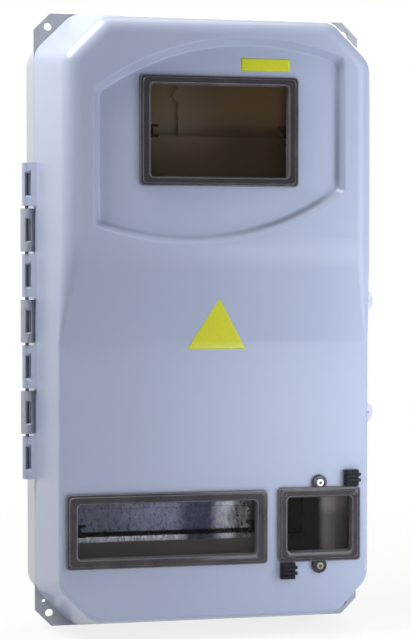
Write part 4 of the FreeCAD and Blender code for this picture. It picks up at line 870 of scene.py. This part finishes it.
# %% Floor
FLOOR_HALF = 6.0
FLOOR_GAP = 0.001
FLOOR_COLOUR = (0.86, 0.86, 0.87, 1)
FADE_START = 0.25
FADE_END = 0.9
SHADOW_SHARE = 0.2
WHITE = (1, 1, 1, 1)


def looked_at(shade):
    """1 for a ray from the camera, off a mirror or through a clear thing, and 0 for a ray that lights."""
    seen = shade.node("ShaderNodeLightPath", {}, {}, "Is Camera Ray")
    mirrored = shade.node("ShaderNodeLightPath", {}, {}, "Is Glossy Ray")
    through = shade.node("ShaderNodeLightPath", {}, {}, "Is Transmission Ray")
    return shade.math("MINIMUM", seen + mirrored + through, 1.0)


floor_mesh = bpy.data.meshes.new("floor")
floor_corners = [(-FLOOR_HALF, -FLOOR_HALF), (FLOOR_HALF, -FLOOR_HALF), (FLOOR_HALF, FLOOR_HALF),
                 (-FLOOR_HALF, FLOOR_HALF)]
floor_mesh.from_pydata([(x, y, cad_low.z - FLOOR_GAP) for x, y in floor_corners], [], [(0, 1, 2, 3)])
floor = bpy.data.objects.new("floor", floor_mesh)
bpy.context.scene.collection.objects.link(floor)

floor_paint, shade, shader = finish("floor_paint", {"Roughness": 0.9, "Base Color": FLOOR_COLOUR})
away = shade.node("ShaderNodeVectorMath", {"operation": "LENGTH"}, {0: shade.place()}, "Value")
whiteness = 1 - SHADOW_SHARE * (1 - away.share(FADE_START, FADE_END))
glow = shade.node("ShaderNodeEmission", {}, {"Color": WHITE, "Strength": 1.0})
painted = Shade(shade.tree, shader.outputs[0])
floor_mix = shade.node("ShaderNodeMixShader", {}, {0: whiteness * looked_at(shade), 1: painted, 2: glow})
shade.feed(shade.tree.nodes["Material Output"].inputs["Surface"], floor_mix)
floor_mesh.materials.append(floor_paint)
print("floor at", round(floor_mesh.vertices[0].co.z / MM, 1), "mm")

# %% World
WORLD_STRENGTH = 0.06

world = bpy.data.worlds.new("white_studio")
world.use_nodes = True
bpy.context.scene.world = world
air = Shade(world.node_tree)
background = world.node_tree.nodes["Background"]
background.inputs["Color"].default_value = WHITE
air.feed(background.inputs["Strength"], WORLD_STRENGTH + (1 - WORLD_STRENGTH) * looked_at(air))
print(world.name, "lights with", WORLD_STRENGTH)

# %% Lamps
BOX_MIDDLE = (0, -0.08, 0.0)
COOL = (0.93, 0.96, 1.0)
COOLER = (0.90, 0.94, 1.0)
PALE_WARM = (1.0, 0.98, 0.90)
WARM = (1.0, 0.89, 0.72)
PLAIN = (1.0, 1.0, 1.0)


def soft_lamp(name, place, target, width, height, power, colour):
    """Rectangular area lamp that looks at a target, in metres and watts."""
    data = bpy.data.lights.new(name, "AREA")
    data.shape = "RECTANGLE"
    data.size = width
    data.size_y = height
    data.energy = power
    data.color = colour
    lamp = bpy.data.objects.new(name, data)
    bpy.context.scene.collection.objects.link(lamp)
    lamp.location = place
    lamp.rotation_euler = (Vector(target) - Vector(place)).to_track_quat("-Z", "Y").to_euler()
    print(name, power, "W")


soft_lamp("right_lamp", place=(0.30, -0.34, 0.0), target=(0.12, -0.14, 0.0),
          width=0.15, height=0.8, power=1.3, colour=COOL)
soft_lamp("left_lamp", place=(-0.58, -0.19, 0.78), target=(-0.14, -0.08, 0.2),
          width=0.4, height=0.4, power=10.2, colour=PALE_WARM)
soft_lamp("top_lamp", place=(0.05, -0.15, 0.95), target=(0.0, -0.08, 0.28),
          width=0.6, height=0.3, power=1.9, colour=WARM)
soft_lamp("window_lamp", place=(0.42, -1.30, -0.24), target=(0.1, -0.14, -0.1),
          width=0.35, height=0.40, power=2.9, colour=COOLER)
soft_lamp("front_lamp", place=(-0.3, -1.62, 0.16), target=BOX_MIDDLE,
          width=0.4, height=0.4, power=0.8, colour=COOLER)
soft_lamp("back_lamp", place=(0.9, 1.6, 1.0), target=BOX_MIDDLE,
          width=1.2, height=1.2, power=24, colour=PLAIN)

# %% Set the view transform
bpy.context.scene.view_settings.view_transform = "Standard"
